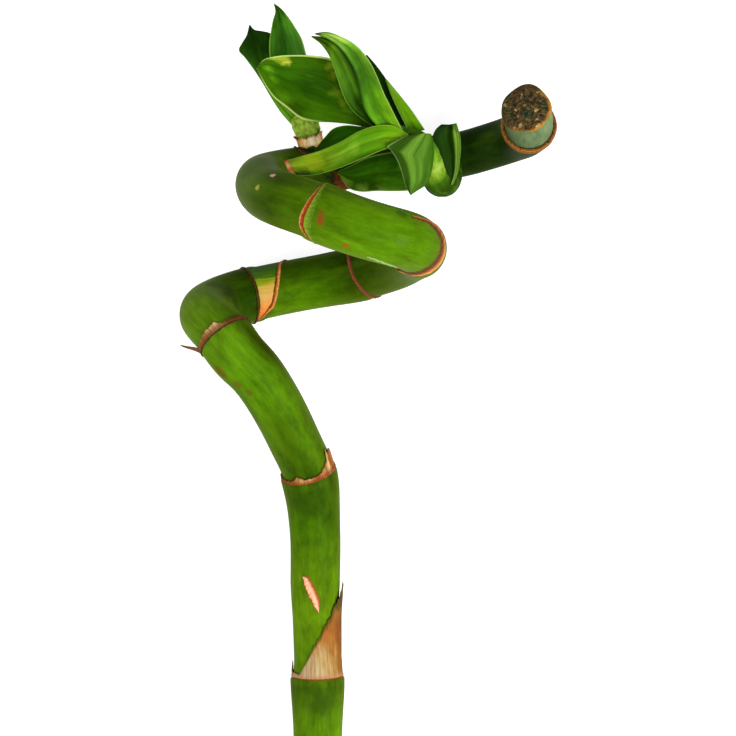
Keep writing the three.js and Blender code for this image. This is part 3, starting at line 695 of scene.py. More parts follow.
def dry_sheath(
    name, start, flare, heights, ragged, seed, skin_name, colours, tones,
    gap=0.3, thick=0.3, line=cane_curve, radius_at=cane_radius, **skin_settings,
):
    """A dry sheet wrapped round a stem, torn at its top edge to the (angle, height) pairs."""
    material = papery(skin_name, heights, colours, tones, **skin_settings)
    angles = np.linspace(heights[-1][0], heights[0][0], SHEATH_COLUMNS + 1)[None, :]
    up = np.linspace(0, 1, SHEATH_ROWS + 1)[:, None]
    torn = read(heights, angles[0])
    torn = torn * (1 + 0.05 * wobble(angles[0] / 9, seed)) + ragged * wobble(angles[0] / 4, seed + 1)
    height = up * np.maximum(torn, 0.4)[None, :]
    place = start + height
    centre = at_places(line, place)
    ahead = unit(vectors_at(place, lengths(line), unit(np.gradient(line, axis=0))))
    side = unit(np.cross(ahead, UP))
    top = np.cross(side, ahead)
    turn = np.radians(angles + 0 * up)[..., None]
    outward = top * np.cos(turn) + side * np.sin(turn)
    folds = 0.1 * up * wobble(angles / 12, seed + 2)
    radius = radius_at(place) + gap + flare * height**2 + folds
    middle = centre + outward * radius[..., None]
    half = thick / 2 * (1 - 0.5 * (2 * up - 1) ** 2) + 0 * place
    painted = np.stack([angles + 0 * up, height, 0.5 + up + 0 * angles], axis=-1)
    return sheet_piece(name, middle, outward, half, painted, material)


lower_sheath = dry_sheath(
    "dry_sheath_with_tall_tip", start=57.9, flare=0.001, ragged=0.15, seed=61,
    heights=[
        (-165, 1.1), (-104, 1), (-92, 3.6), (-80, 1.1), (-42, 0.9), (82, 22.5), (170, 4), (188, 1.2),
    ],
    skin_name="dry_sheath_lower",
    # Its torn edge is dark olive: the tear's own brown, with a painted thin shadow along the tall tip's
    # outline
    colours=("#6c4a1c", "#a07458", "#3c3408"),
    tones=[
        (0, "#5c3a1a"), (0.22, "#7a4a34"), (0.3, "#8a7460"), (0.4, "#98886c"), (0.5, "#9c8a60"),
        (0.58, "#947440"), (0.64, "#7a5018"), (0.7, "#60400c"), (0.76, "#3c2806"), (1, "#4c300e"),
    ],
    up_tones=[
        (0, "#ffffff"), (0.2, "#f8f0e4"), (0.4, "#e8b070"), (0.55, "#d89858"), (0.63, "#e0b878"),
        (0.7, "#f8f0d0"), (0.76, "#86803c"), (0.9, "#686418"),
    ],
    tall=22.5,
)
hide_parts("dry_sheath_lower_joint")

upper_sheath = dry_sheath(
    "dry_sheath_with_flap", start=107.9, flare=0.012, ragged=0.22, seed=67,
    heights=[
        (-170, 1), (-60, 1.2), (-40, 1.3), (-25, 3), (-10, 1.4), (20, 1.2), (36, 2.2), (52, 3.2),
        (57, 5.8), (61, 4.4), (74, 4.6), (88, 3.4), (110, 1.2), (182, 1),
    ],
    skin_name="dry_sheath_upper",
    colours=("#4a2410", "#6c2e0c", "#3c2410"),
    tones=[
        (0, "#4a2c14"), (0.3, "#74380c"), (0.4, "#7a4818"), (0.46, "#a88050"), (0.5, "#7a4818"),
        (0.55, "#743a0c"), (0.6, "#a07444"), (0.64, "#b89860"), (0.67, "#7c4010"), (0.7, "#9a6428"),
        (0.76, "#5a2808"), (1, "#3c2010"),
    ],
)
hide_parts("dry_sheath_upper_joint")

turn_sheath = dry_sheath(
    "dry_sheath_with_spur", start=148.5, flare=0.065, ragged=0.15, seed=71,
    heights=[(-170, 0.7), (-90, 1), (-76, 6.2), (-68, 1), (-20, 1.2), (4, 1.2), (14, 0.5), (182, 0.5)],
    skin_name="dry_sheath_turn",
    colours=("#4c2c0c", "#5c2c0c", "#4a2408"),
    tones=[
        (0, "#4c2d08"), (0.25, "#3c2408"), (0.3, "#7a5020"), (0.42, "#946c34"), (0.48, "#ccac78"),
        (0.52, "#b89460"), (0.56, "#64481a"), (0.75, "#5a3a14"), (1, "#4c2d08"),
    ],
)
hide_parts("dry_sheath_first_turn")

top_ring = dry_sheath(
    "dry_ring_below_top_cut", start=386.2, flare=0, ragged=0.2, seed=73, gap=0.5, thick=0.9,
    heights=[(-170, 1.5), (-60, 1.9), (20, 1.5), (90, 2), (182, 1.5)],
    skin_name="dry_ring_skin",
    colours=("#8a4c18", "#8c4810", "#8a6428"),
    tones=[
        (0, "#f0a038"), (0.08, "#c87c24"), (0.22, "#6a4016"), (0.6, "#50300e"), (0.72, "#5c3210"),
        (0.8, "#7c3c10"), (0.87, "#a05414"), (0.93, "#dc8c28"), (1, "#f0a038"),
    ],
)
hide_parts("dry_sheath_top_cut")

# Left shoot
# A young side shoot that broke out of a joint at the back of the spiral: a rumpled yellow-green foot
# ringed by dry cream bracts, and two stiff leaves, one still folded. Both leaves wrap the foot.
STEM_ROWS = 90
STEM_SIDES = 48


def stem_piece(name, points, radii, material, crumple=0.0, creases=0.0, seed=1):
    """A short round stem along a curve, rounded off at its far end."""
    line = smooth_line(points)
    rows = np.linspace(0, lengths(line)[-1], STEM_ROWS)
    centres = at_places(line, rows)
    _, sides, tops = carried_frames(centres)
    up = rows[:, None]
    angles = np.linspace(0, 2 * np.pi, STEM_SIDES, endpoint=False)
    radius = read(radii, rows)[:, None] + 0 * angles
    radius += crumple * wobble(rows * 0.3, seed)[:, None] * wobble(np.cos(angles) * 0.6 + 2, seed + 1)
    radius += crumple * 0.5 * wobble(np.sin(angles) * 0.8 + 4, seed + 2) * np.sin(up * 1.1)
    radius -= creases * (1 - np.abs(np.sin(2.5 * angles + 0.55 * up))) ** 3
    radius[0] = radius[-1] = 0.01
    outward = tops[:, None] * np.cos(angles)[:, None] + sides[:, None] * np.sin(angles)[:, None]
    surface = centres[:, None] + outward * radius[..., None]
    painted = np.stack([np.cos(angles) * radius, np.sin(angles) * radius, up + 0 * radius], axis=-1)
    faces = tube_faces(STEM_ROWS, STEM_SIDES)
    return make_piece(name, surface, faces, material, {"unrolled": painted})


# Young shoot skin: soft, thin and juicy, a yellower green than the cane, with fine ribs 0.8 mm apart
def young_skin(name, tones, length, mottles, depth):
    """Skin of a shoot's foot: its colours from the foot up, of its mottles, and the depth of its ribs."""
    skin, add, place, (_, _, up) = blank_material(name, "unrolled")
    share = add("Math", [up, 1 / length], operation="MULTIPLY")
    tone = add("ValToRGB", [share], tones)
    space = add("Mapping", {"Vector": place, "Scale": (1 / 0.8, 1 / 0.8, 1 / 6)})
    ribs = add("TexNoise", {"Vector": space, "Scale": 1, "Detail": 3})
    cloud = add("TexNoise", {"Vector": place, "Scale": 0.7, "Detail": 3})
    light = add("MapRange", [ribs, 0.3, 0.7, 0.85, 1.12])
    ribbed = add("HueSaturation", {"Color": tone, "Value": light})
    amount = add("MapRange", [cloud, 0.5, 0.66, 0, 0.6])
    mottled = add("MixRGB", [amount, ribbed, mottles])
    finish_material(add, mottled, 0.48, ribs, strength=0.5, depth=depth, specular=0.014, ior=1.42)
    return skin


LEFT_SHOOT_LINE = [(-1, 181, 7.5), (-1.5, 184.5, 8), (-2.4, 188, 9), (-3.7, 192, 10.2)]
LEFT_SHOOT_RADII = [(0, 2.6), (5.8, 2.6), (6.8, 3.2), (9, 3.3), (10.8, 2.9), (11.6, 1.8)]
left_foot_tones = [
    (0, "#16240a"), (0.3, "#1c3004"), (0.5, "#7a982c"), (0.7, "#90ac3c"), (0.85, "#88a434"),
    (1, "#7a982c"),
]
left_foot_skin = young_skin("left_foot_skin", left_foot_tones, length=11.6, mottles="#2c500c", depth=0.1)
left_foot = stem_piece(
    "left_shoot_foot", LEFT_SHOOT_LINE, LEFT_SHOOT_RADII, left_foot_skin, crumple=0.9, creases=0.8, seed=81
)
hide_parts("left_shoot_stem")

left_bracts = dry_sheath(
    "left_shoot_dry_bracts", start=3.2, flare=0.02, ragged=0.3, seed=83,
    line=smooth_line(LEFT_SHOOT_LINE), radius_at=lambda along: read(LEFT_SHOOT_RADII, along),
    heights=[
        (-170, 2.8), (-90, 3.4), (-62, 2.6), (-34, 3.3), (-12, 2.8), (8, 3.3), (34, 2.7), (60, 3.4),
        (90, 2.6), (182, 2.8),
    ],
    skin_name="dry_bract_skin",
    colours=("#e09848", "#b87834", "#a86c20"),
    tones=[
        (0, "#8c5c1c"), (0.28, "#a8681c"), (0.36, "#ffd890"), (0.46, "#fff0c8"), (0.54, "#fff4d0"),
        (0.62, "#ffd890"), (0.7, "#c47420"), (1, "#a4722a"),
    ],
    fibre_turn=16,
)
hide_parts("left_shoot_bracts")

# The left shoot's two leaves: thin stiff blades, thinner still at the margin, with a channel on the midrib
LEAF_ROWS = 72
LEAF_COLUMNS = 28
LEAF_THICKNESS = 0.46
MARGIN_THICKNESS = 0.2
CHANNEL_DEPTH = 0.25
CHANNEL_WIDTH = 0.07


def edge_lines(leaf):
    """The left and the right edge of a leaf, each as evenly spaced points from its foot to its tip."""
    lines = [smooth_line(leaf[side]) for side in ("left", "right")]
    return [at_places(line, np.linspace(0, lengths(line)[-1], LEAF_ROWS + 1)) for line in lines]


def leaf_size(leaf):
    """A leaf's length and its greatest half width."""
    left, right = edge_lines(leaf)
    return lengths((left + right) / 2)[-1], np.linalg.norm(left - right, axis=1).max() / 2


def leaf_blade(name, leaf, material):
    """A blade between its two edges, arched or hollow across, with a channel along its midrib."""
    left, right = edge_lines(leaf)
    reach = (left - right)[:, None]
    width = np.linalg.norm(reach, axis=-1)
    to_left = unit(reach)
    ahead = unit(np.gradient(left, axis=0)) + unit(np.gradient(right, axis=0))
    normal = unit(np.cross(ahead[:, None], to_left))
    across = np.linspace(0, 1, LEAF_COLUMNS + 1)[None, :]
    ridge = leaf.get("ridge", 0.5)
    rising = across < ridge
    run = np.where(rising, ridge, ridge - 1)
    climb = np.where(rising, across, across - 1) / run
    channel = CHANNEL_DEPTH * np.exp(-(((across - 0.5) / CHANNEL_WIDTH) ** 2)) * np.minimum(width / 4, 1)
    height = leaf["crown"] * width * np.sin(climb * np.pi / 2) - channel
    slope = leaf["crown"] * np.cos(climb * np.pi / 2) * np.pi / 2 / run
    middle = right[:, None] + to_left * (width * across)[..., None] + normal * height[..., None]
    outward = unit(normal - to_left * slope[..., None])
    thin = np.abs(2 * across - 1) ** 4
    half = (LEAF_THICKNESS * (1 - thin) + MARGIN_THICKNESS * thin) / 2 + 0 * width
    along = np.linspace(0, 1, LEAF_ROWS + 1)[:, None]
    painted = np.stack([along + 0 * across, 2 * across - 1 + 0 * along, np.ones_like(height)], axis=-1)
    return sheet_piece(name, middle, outward, half, painted, material)


PATCH_STRAY = 4
NO_LEFT_MARGIN = 2.0
# Veins and streaks: length and width in mm, detail, darkest and lightest
LEAF_GRAINS = [(30, 0.6, 2, 0.88, 1.12), (9, 2.2, 3, 0.64, 1.34)]


# Leaf skin: smooth living leaf with a thin wax, satin, with a pale margin that is partly its own colour and
# partly a painted highlight of light through the thin edge. Its veins run side by side from the base to the
# tip, about 0.6 mm apart, and the underside is paler.
def leaf_skin(name, leaf):
    """The skin of one leaf: tones from base to tip, painted light and shade from edge to edge, margin, and
    patches.

    A patch has its place as shares of the length and half width, its reach in mm, colour and strength.
    """
    length, half = leaf_size(leaf)
    skin, add, place, (up, off, side) = blank_material(name, "sheet")
    size = add("Mapping", {"Vector": place, "Scale": (length, half, 0)})
    cloud = add("TexNoise", {"Vector": size, "Scale": 0.22, "Detail": 3})
    drift = add("MapRange", [cloud, 0, 1, -0.2, 0.2])
    along = add("Math", [up, drift], operation="ADD")
    tone = add("ValToRGB", [along], leaf["tones"])
    across = add("MapRange", [off, -1, 1])
    # The shade ramp paints light and shade across the blade, from its right edge to its left
    shade = add("ValToRGB", [across], leaf["shade"])
    colour = add("MixRGB", [1, tone, shade], blend_type="MULTIPLY")
    grains = []
    for long, wide, detail, darkest, lightest in LEAF_GRAINS:
        space = add("Mapping", {"Vector": place, "Scale": (length / long, half / wide, 0)})
        grains.append(add("TexNoise", {"Vector": space, "Scale": 1, "Detail": detail}))
        light = add("MapRange", [grains[-1], 0.3, 0.7, darkest, lightest])
        colour = add("HueSaturation", {"Color": colour, "Value": light})
    ragged = add("TexNoise", {"Vector": size, "Scale": 0.4, "Detail": 4}).outputs["Color"]
    stray = (PATCH_STRAY, PATCH_STRAY, 0)
    strayed = add("VectorMath", [ragged, stray, size], operation="MULTIPLY_ADD")
    for at, aside, reach, tint, strength in leaf.get("patches", []):
        middle = (at * length + PATCH_STRAY / 2, aside * half + PATCH_STRAY / 2, 0)
        distance = add("VectorMath", [strayed, middle], operation="DISTANCE").outputs["Value"]
        inside = add("MapRange", [distance, reach * 1.4, reach * 0.3, 0, strength])
        colour = add("MixRGB", [inside, colour, tint])
    from_middle = add("Math", [off], operation="ABSOLUTE")
    margin = add("MapRange", [from_middle, 0.93, 0.98, 0, 0.65])
    if "left_margin_from" in leaf:
        start = leaf["left_margin_from"]
        on_left = add("MapRange", [up, start, start + 0.15])
        on_right = add("Math", [off, 0], operation="LESS_THAN")
        kept = add("Math", [on_left, on_right], operation="MAXIMUM")
        margin = add("Math", [margin, kept], operation="MULTIPLY")
    edged = add("MixRGB", [margin, colour, leaf["margin"]])
    under = add("MapRange", [side, 0.2, -0.2, 0, 0.55])
    both = add("MixRGB", [under, edged, "#5f8a3c"])
    gloss = add("MapRange", [cloud, 0.3, 0.7, 0.4, 0.54])
    finish_material(add, both, gloss, grains[0], strength=0.4, depth=0.12, specular=0.014, ior=1.42)
    return skin


def grow_leaf(leaf_name, **leaf):
    """A leaf in its own skin: its left and right edge, how far it arches, and its colours."""
    blade = leaf_blade(leaf_name + "_blade", leaf, leaf_skin(leaf_name + "_skin", leaf))
    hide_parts(leaf_name)


grow_leaf(
    "leaf_left_folded",
    left=[
        (-5.8, 189.1, 8), (-8.5, 192.1, 9), (-10.8, 195.5, 9.5), (-12.9, 199.1, 9.5), (-15.2, 202.6, 9.5),
        (-17.2, 205.3, 9), (-18.7, 207.2, 8.5), (-17.8, 209.1, 8.5), (-16.9, 210.7, 8), (-16.3, 213.3, 7),
    ],
    right=[
        (-2.7, 190, 8.5), (-5.8, 192.8, 9.5), (-8.6, 195.8, 10), (-10, 199.9, 10), (-10.8, 203.4, 10),
        (-10.9, 207.1, 9.5), (-11, 210.9, 9), (-13.2, 211.7, 8.5), (-15, 212.1, 8), (-16.1, 213.3, 7),
    ],
    # The dark upper tones are painted shade on the folded part's inner face
    tones=[(0, "#5c8a1c"), (0.35, "#4c7a14"), (0.55, "#2c5208"), (0.7, "#1a3a05"), (1, "#112802")],
    shade=[(0, "#ffffff"), (0.5, "#e0e8e0"), (1, "#f0ffe0")],
    crown=0.12, margin="#4f7a20",
)
grow_leaf(
    "leaf_left_tall",
    left=[
        (-3.4, 189.8, 10.5), (-7.8, 196, 12.5), (-10.1, 201.3, 13.5), (-11.1, 205.2, 13.8),
        (-11.2, 208.4, 13.6), (-10.9, 210.8, 13), (-10.4, 213.8, 12.3), (-9.9, 215.8, 11.5),
        (-10.3, 218, 10),
    ],
    right=[
        (0, 190, 10.5), (-0.7, 196, 12.5), (-1.7, 201.7, 13.5), (-2.7, 206, 13.8), (-3.6, 209.1, 13.6),
        (-4.9, 211.5, 13), (-6.6, 214.2, 12.3), (-8.4, 216.5, 11.5), (-10.2, 218.1, 10),
    ],
    tones=[(0, "#3a6a1c"), (0.5, "#3c6c1e"), (0.8, "#3f6e18"), (0.95, "#1f3e08")],
    shade=[(0, "#ffffff"), (0.35, "#e0f0d8"), (0.5, "#a8c8b0"), (0.7, "#c8dcc0"), (1, "#e0f0c8")],
    crown=-0.18, margin="#7fa83c",
)

# Right shoot
# The stronger side shoot, from the joint nearest the upper cut: its swollen foot curls forward over the
# cane and fans into ten leaves, the outer ones broad, the inner ones hooked or folded over.
RIGHT_SHOOT_LINE = [
    (31, 180.5, 12), (29.9, 175.5, 14.5), (27.8, 176.6, 17.5), (26.5, 181, 20), (24.6, 184.5, 21.5),
    (22, 186, 22), (18.5, 187, 22),
]
RIGHT_SHOOT_RADII = [(0, 3.4), (4, 4), (8, 3.8), (12, 2.9), (16, 2.4), (19, 1.7), (23, 1.1)]
# Along the foot: its own greens, with painted shade on the dark cap beneath the curl and a painted highlight
# across its top
right_foot_tones_and_light = [
    (0, "#182e02"), (0.34, "#1e3602"), (0.42, "#2e4e06"), (0.47, "#64841c"), (0.53, "#84a038"),
    (0.64, "#5c8418"), (0.8, "#44701a"), (1, "#2c5208"),
]
right_foot_skin = young_skin("right_foot_skin", right_foot_tones_and_light, length=23, mottles="#3c5c10", depth=0.15)
right_foot = stem_piece(
    "right_shoot_foot", RIGHT_SHOOT_LINE, RIGHT_SHOOT_RADII, right_foot_skin,
    crumple=0.08, creases=0.25, seed=91,
)
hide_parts("right_shoot_stem")

PLAIN_SHADE = [(0, "#e8f0e0"), (0.5, "#ffffff"), (1, "#e8f0e0")]
grow_leaf(
    "leaf_right_broad",
    left=[
        (17.5, 186, 21.3), (12.6, 187.2, 20.5), (7.9, 188.1, 20.7), (3.3, 188.5, 21.2), (-0.9, 188.6, 22),
        (-3.7, 189.3, 22.6), (-6.7, 191.6, 23.2), (-9.7, 194, 23.8), (-11.9, 197.2, 24.3),
        (-13.6, 200.6, 24.5),
    ],
    right=[
        (17.7, 187.6, 21.5), (14.4, 191.8, 21.3), (10.7, 195.9, 22), (7.2, 199.3, 22.8), (4, 202.7, 23.6),
        (-0.2, 203.5, 24.2), (-4.5, 203.6, 24.7), (-8.9, 203.3, 25), (-11.9, 202.5, 25),
        (-13.4, 201, 24.5),
    ],
    tones=[(0, "#182e03"), (0.2, "#244002"), (0.4, "#2c4e02"), (0.6, "#264601"), (0.85, "#305602")],
    shade=[(0, "#fff8e0"), (0.3, "#d0e0c0"), (0.55, "#c8e0b8"), (0.8, "#ffffff"), (1, "#ffffff")],
    patches=[
        (0.9, -0.1, 1.8, "#5c8c10", 0.6), (0.84, 0.3, 1.4, "#4c780a", 0.6),
        (0.83, -0.85, 1.5, "#98a82c", 0.5), (0.8, -0.65, 1, "#b0b43c", 0.6),
        (0.88, -0.9, 1.2, "#90a83c", 0.5), (0.72, 0.75, 2, "#436e08", 0.6),
        (0.5, 0.8, 2.2, "#3a6406", 0.5), (0.53, -0.9, 1.2, "#647810", 0.7),
        (0.49, -0.62, 0.9, "#6c700e", 0.5), (0.42, -0.2, 1.5, "#647810", 0.5),
        (0.36, 0.1, 1.2, "#6c7c10", 0.5), (0.3, 0.3, 1.6, "#447008", 0.5),
    ],
    # The pale margin along its upper edge is partly a painted highlight
    crown=-0.12, margin="#b8c870", left_margin_from=0.42,
)
grow_leaf(
    "leaf_right_behind",
    left=[
        (17.5, 184.9, 20.5), (12.6, 184.2, 18.5), (8.3, 183.4, 17), (4.3, 182.6, 16), (1.7, 182.2, 15.3),
        (-0.6, 182.4, 15),
    ],
    right=[
        (17.9, 186.5, 20.8), (13.7, 187.3, 19.5), (10.2, 187.8, 18.5), (6.7, 188.1, 17.7),
        (3.9, 187.4, 17), (2, 185.6, 16.2), (-0.5, 182.7, 15),
    ],
    tones=[(0, "#1c3a02"), (0.5, "#245200"), (1, "#224306")],
    crown=-0.15, shade=PLAIN_SHADE, margin="#3a6a10",
)
grow_leaf(
    "leaf_right_lower",
    left=[
        (25.4, 173.9, 18.3), (22.4, 173, 17.7), (18.4, 172.8, 17.2), (14.4, 172.9, 16.7),
        (10.2, 172.8, 16.2), (7.5, 173.7, 15.6), (4.8, 177.4, 14.8),
    ],
    right=[
        (24.5, 182.1, 20.3), (19.6, 181.8, 19.2), (16.1, 181.6, 18.3), (11.6, 180.6, 17.2),
        (7.9, 178.8, 16), (4.9, 177.6, 14.8),
    ],
    tones=[(0, "#2e5206"), (0.3, "#3a6a08"), (0.5, "#244602"), (0.8, "#264a02"), (1, "#2e5202")],
    shade=[(0, "#b0c8a0"), (0.4, "#e8f8d8"), (0.8, "#ffffff"), (1, "#ffffff")],
    patches=[
        (0.85, 0.75, 1.6, "#5c7420", 0.8), (0.65, 0.85, 1.4, "#5c7828", 0.8),
        (0.45, 0.9, 1.2, "#52701c", 0.7),
    ],
    crown=-0.15, margin="#74883c",
)
grow_leaf(
    "leaf_right_shaded",
    left=[(20.2, 186, 21), (17.9, 189.9, 21.8), (15.8, 194.4, 22.6), (14, 199, 23), (11.6, 203.8, 22.6)],
    right=[
        (22.3, 186.7, 21), (20.5, 190.8, 21.8), (18.4, 194.9, 22.6), (15.8, 199, 23), (13.7, 201.8, 23),
        (11.8, 204, 22.6),
    ],
    # Its near-black tones are painted shade: it lies in the shade of the leaves around it
    tones=[(0, "#123100"), (0.5, "#0e2800"), (1, "#0c2400")],
    crown=-0.15, shade=PLAIN_SHADE, margin="#123100",
)
grow_leaf(
    "leaf_right_slim",
    left=[
        (21.9, 185.6, 22.3), (20.4, 188.3, 23.2), (19, 191, 24.1), (17.4, 194.4, 24.8), (16.1, 197.9, 25),
    ],
    right=[
        (25.3, 186.6, 22.3), (23.8, 188.7, 23.2), (21.9, 191.3, 24.1), (19.3, 194.5, 24.8),
        (16.4, 198, 25),
    ],
    tones=[(0, "#1e4000"), (0.2, "#4c7608"), (0.6, "#547d0a"), (1, "#5f8127")],
    shade=[(0, "#d8e8d0"), (0.5, "#ffffff"), (0.85, "#e8f0d0"), (1, "#a0bc90")],
    crown=-0.15, margin="#7a9a48",
)
grow_leaf(
    "leaf_right_inner_hook",
    left=[
        (16.5, 186.1, 22), (13.3, 187.5, 22.4), (9.8, 189.7, 23.2), (7.2, 192.6, 24.2),
        (5.9, 195.5, 25.2), (5, 198.1, 26.2), (4.1, 200.7, 27), (3, 203.3, 27.7), (1.2, 205.7, 28),
        (-0.9, 207.3, 28),
    ],
    right=[
        (18.4, 186.8, 22.6), (16, 188.3, 23.4), (13.5, 190.9, 24.6), (11.6, 193.8, 25.6),
        (10.5, 196.9, 26.6), (9.3, 199.7, 27.5), (7.5, 202.7, 28), (5.3, 205.5, 28.3), (2.2, 207.1, 28.3),
        (-0.7, 207.5, 28),
    ],
    # Its dark base is painted shade, and the dark right edge of its shade ramp a painted shadow of the outer
    # hook
    tones=[
        (0, "#0e2000"), (0.25, "#163002"), (0.4, "#33580c"), (0.6, "#456c14"), (0.8, "#4c7210"),
        (0.9, "#2a4604"), (1, "#281c04"),
    ],
    shade=[
        (0, "#2c4020"), (0.15, "#88a078"), (0.35, "#fffff0"), (0.6, "#c8dcb0"), (0.8, "#ffffff"),
        (1, "#c8d8b0"),
    ],
    crown=-0.15, margin="#5f8a2c",
)
grow_leaf(
    "leaf_right_outer_hook",
    left=[
        (15.8, 186.2, 23), (13.3, 188.1, 25), (11.4, 190.7, 26.5), (10.5, 193.9, 28), (9.8, 197.2, 29.4),
        (8.4, 200.7, 30.6), (6.4, 203.5, 31.5), (3.5, 205.9, 32), (0, 207.3, 32),
    ],
    right=[
        (20.7, 185.3, 23), (19.3, 187.6, 25), (17.4, 191.1, 27), (15.5, 194.8, 28.6), (13.9, 198.5, 30),
        (11.9, 202, 31.2), (9.1, 204.9, 32), (6, 206.6, 32.3), (2.8, 207.7, 32.3), (0.2, 207.5, 32),
    ],
    tones=[
        (0, "#42700c"), (0.15, "#5f8c12"), (0.3, "#4c7610"), (0.5, "#365a0e"), (0.75, "#5c8624"),
        (0.86, "#84a044"), (0.94, "#4a6a10"), (1, "#2c2004"),
    ],
    shade=[
        (0, "#ffffff"), (0.2, "#fffff0"), (0.45, "#c8dcb8"), (0.55, "#b0c8a0"), (0.7, "#c0d8c0"),
        (0.9, "#d0e8d0"), (1, "#88a078"),
    ],
    crown=-0.15, margin="#86a44c", left_margin_from=NO_LEFT_MARGIN,
)
grow_leaf(
    "leaf_right_front",
    left=[
        (20.7, 182.5, 23.2), (16.7, 182.1, 24.2), (11.6, 180.2, 23), (6.7, 178.3, 21.3),
        (1.8, 176.9, 19.3), (-1.7, 176.4, 18), (-4.6, 176.6, 17),
    ],
    right=[
        (21.4, 185.5, 23.6), (17.6, 187.3, 24.8), (13.5, 187.2, 24.4), (9.8, 186, 23.3),
        (5.6, 183.8, 21.6), (0.9, 182, 19.6), (-3.1, 181, 18), (-6.7, 180.1, 17),
    ],
    tones=[
        (0, "#7c9c2c"), (0.12, "#5d860c"), (0.35, "#528210"), (0.55, "#66941a"), (0.75, "#86a81a"),
        (0.9, "#90b020"), (1, "#8ca02c"),
    ],
    shade=[(0, "#ffffff"), (0.25, "#e0f0d0"), (0.5, "#ffffff"), (0.8, "#d8e8c8"), (1, "#88a078")],
    patches=[
        (0.8, -0.2, 2, "#a4b41c", 0.7), (0.45, 0, 1.6, "#7ca028", 0.6), (0.6, 0.1, 1.6, "#7ca028", 0.6),
        # The three dark patches at the tip's lower edge are painted shade
        (0.98, 1, 2.4, "#142c06", 1), (0.9, 1, 2, "#1a360a", 0.95), (0.8, 1.1, 1.6, "#24440a", 0.8),
    ],
    crown=0.1, margin="#8eb03c",
)
grow_leaf(
    "leaf_right_folded_down",
    left=[
        (26.7, 185.5, 23.2), (27.2, 183.7, 23.3), (27.4, 181.8, 23.3), (27.2, 179.1, 22.6),
        (26.6, 176.2, 21.4), (25.4, 173.9, 20.6), (23.6, 172.7, 20.4), (22.1, 171.7, 20.5),
    ],
    right=[
        (23.7, 185.4, 24.3), (20.6, 184.6, 25.6), (18.1, 183.3, 26.2), (16.6, 182.3, 26.2),
        (17.4, 181.4, 25.8), (18.7, 179.6, 25), (19.9, 176.7, 23.7), (20.9, 173.6, 22),
        (21.9, 171.7, 20.6),
    ],
    tones=[(0, "#5f7f2a"), (0.25, "#507225"), (0.5, "#507222"), (0.8, "#476820"), (1, "#406016")],
    # Its shade ramp paints a highlight along the crease and shade on the strip beside its left rim
    shade=[
        (0, "#d8e4c0"), (0.05, "#a8bc90"), (0.2, "#a8bc90"), (0.29, "#f0f8e0"), (0.36, "#fcfff0"),
        (0.5, "#d0e0b8"), (0.62, "#e0ecd0"), (0.8, "#b8d098"), (1, "#90b060"),
    ],
    crown=0.2, ridge=0.3, margin="#8fa86c", left_margin_from=NO_LEFT_MARGIN,
)
grow_leaf(
    "leaf_right_sheathing",
    left=[
        (30.9, 174.3, 18.6), (30.4, 177.1, 19.3), (29.1, 180.5, 20.3), (27.7, 183.2, 21),
        (27.2, 185.1, 21.5), (27.9, 186.8, 21.8), (29.1, 187.9, 22),
    ],
    right=[
        (31.9, 174.2, 18.6), (32.9, 176.6, 19.8), (33.4, 179.7, 21.3), (33.6, 182.8, 22.3),
        (33.4, 185.1, 22.8), (33, 186.7, 22.8), (32.6, 188.1, 22.6),
    ],
    tones=[(0, "#7c9c38"), (0.5, "#86a442"), (0.9, "#7c9c38"), (1, "#4c6c20")],
    # Its shade ramp paints the inner face dark with shade, and a highlight line on the pale strip at its
    # right
    shade=[
        (0, "#a0b880"), (0.05, "#e0f0c8"), (0.1, "#98b078"), (0.16, "#ffffff"), (0.22, "#c0d0a0"),
        (0.28, "#3c5428"), (0.34, "#2a451c"), (0.6, "#365428"), (1, "#28421c"),
    ],
    crown=-0.25, margin="#3c5c1c", left_margin_from=NO_LEFT_MARGIN,
)

# The front leaf's blunt tip has died back and curled into a dry brown roll
TIP_LINE = [(-7.3, 179.9, 17.6), (-7.1, 178.5, 18.3), (-6.3, 177.3, 18.3), (-5.1, 176.3, 17.6)]
TIP_RADII = [(0, 0.6), (0.8, 1.1), (3.2, 1.15), (4.6, 0.5)]
tip_tones = [
    (0, "#3c2410"), (0.2, "#8c4c20"), (0.45, "#c09060"), (0.62, "#94501c"), (0.85, "#4c280c"),
    (1, "#201404"),
]
tip_skin = young_skin("dried_tip_skin", tip_tones, length=4.4, mottles="#c08c5c", depth=0.3)
stem_piece("leaf_right_front_dry_tip", TIP_LINE, TIP_RADII, tip_skin, crumple=0.15, seed=95)

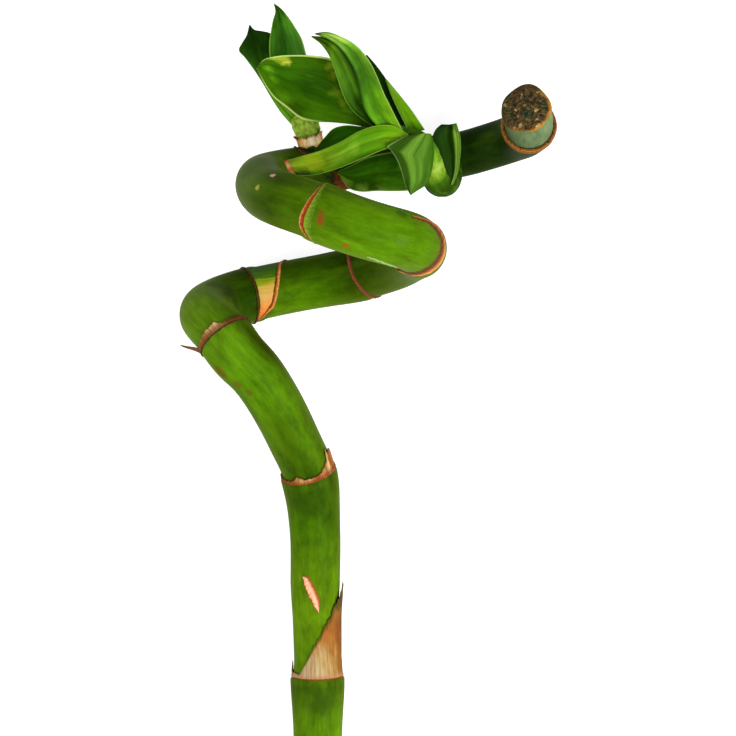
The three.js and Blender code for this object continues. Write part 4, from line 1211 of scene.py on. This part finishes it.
# Floor
# A wide sheet of matt white paper, the plain ground of a studio table. It isn't part of the object.
FLOOR_REACH = 3
FLOOR_GAP = 0.02 * MM
bpy.context.view_layer.update()
floor_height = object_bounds()[0].z - FLOOR_GAP
floor_corners = [(x * FLOOR_REACH, y * FLOOR_REACH, 0) for x, y in ((-1, -1), (1, -1), (1, 1), (-1, 1))]
floor_mesh = bpy.data.meshes.new("studio_floor")
floor_mesh.from_pydata(floor_corners, [], [(0, 1, 2, 3)])
floor = bpy.data.objects.new("studio_floor", floor_mesh)
bpy.context.scene.collection.objects.link(floor)
floor.location.z = floor_height
paper = bpy.data.materials.new("matt_white_paper")
paper.use_nodes = True
paper_inputs = paper.node_tree.nodes["Principled BSDF"].inputs
paper_inputs["Base Color"].default_value = linear("#a4a4a4")
paper_inputs["Roughness"].default_value = 1
paper_inputs["Specular IOR Level"].default_value = 0
paper_inputs["Emission Color"].default_value = linear("#ffffff")
paper_inputs["Emission Strength"].default_value = 0.8
floor_mesh.materials.append(paper)

# Lights
# Soft studio light: one broad lamp from the lower right, a weaker one from the left, a faint one from
# behind, and pale walls. Each lamp has its place and its size in metres, and its power in watts.
LAMPS = [
    ("key_lamp", (0.34, -0.20, 0.42), 0.45, 6.5),
    ("fill_lamp", (-0.42, -0.16, 0.42), 0.50, 3.5),
    ("back_lamp", (0.05, 0.55, 0.40), 0.40, 0.5),
]
for lamp_name, place, size, power in LAMPS:
    lamp = bpy.data.lights.new(lamp_name, "AREA")
    lamp.shape = "SQUARE"
    lamp.size = size
    lamp.energy = power
    lamp_object = bpy.data.objects.new(lamp_name, lamp)
    bpy.context.scene.collection.objects.link(lamp_object)
    lamp_object.location = place
    aim = -lamp_object.location
    lamp_object.rotation_euler = aim.to_track_quat("-Z", "Y").to_euler()
walls = bpy.data.worlds.new("pale_walls")
walls.use_nodes = True
walls.node_tree.nodes["Background"].inputs["Color"].default_value = (1, 1, 1, 1)
walls.node_tree.nodes["Background"].inputs["Strength"].default_value = 0.4
bpy.context.scene.world = walls
bpy.context.scene.view_settings.view_transform = "Standard"

# Camera
# It looks straight down on the lying cane from half a metre, as the photograph does.
camera = bpy.data.objects.new("camera", bpy.data.cameras.new("camera"))
bpy.context.scene.collection.objects.link(camera)
camera.location = (DRAWING_ORIGIN + [12.1, 131.3, 506]) * MM
camera.data.sensor_width = 36
camera.data.lens = 101.9
camera.data.clip_start = 0.01
bpy.context.scene.camera = camera

bpy.context.view_layer.update()
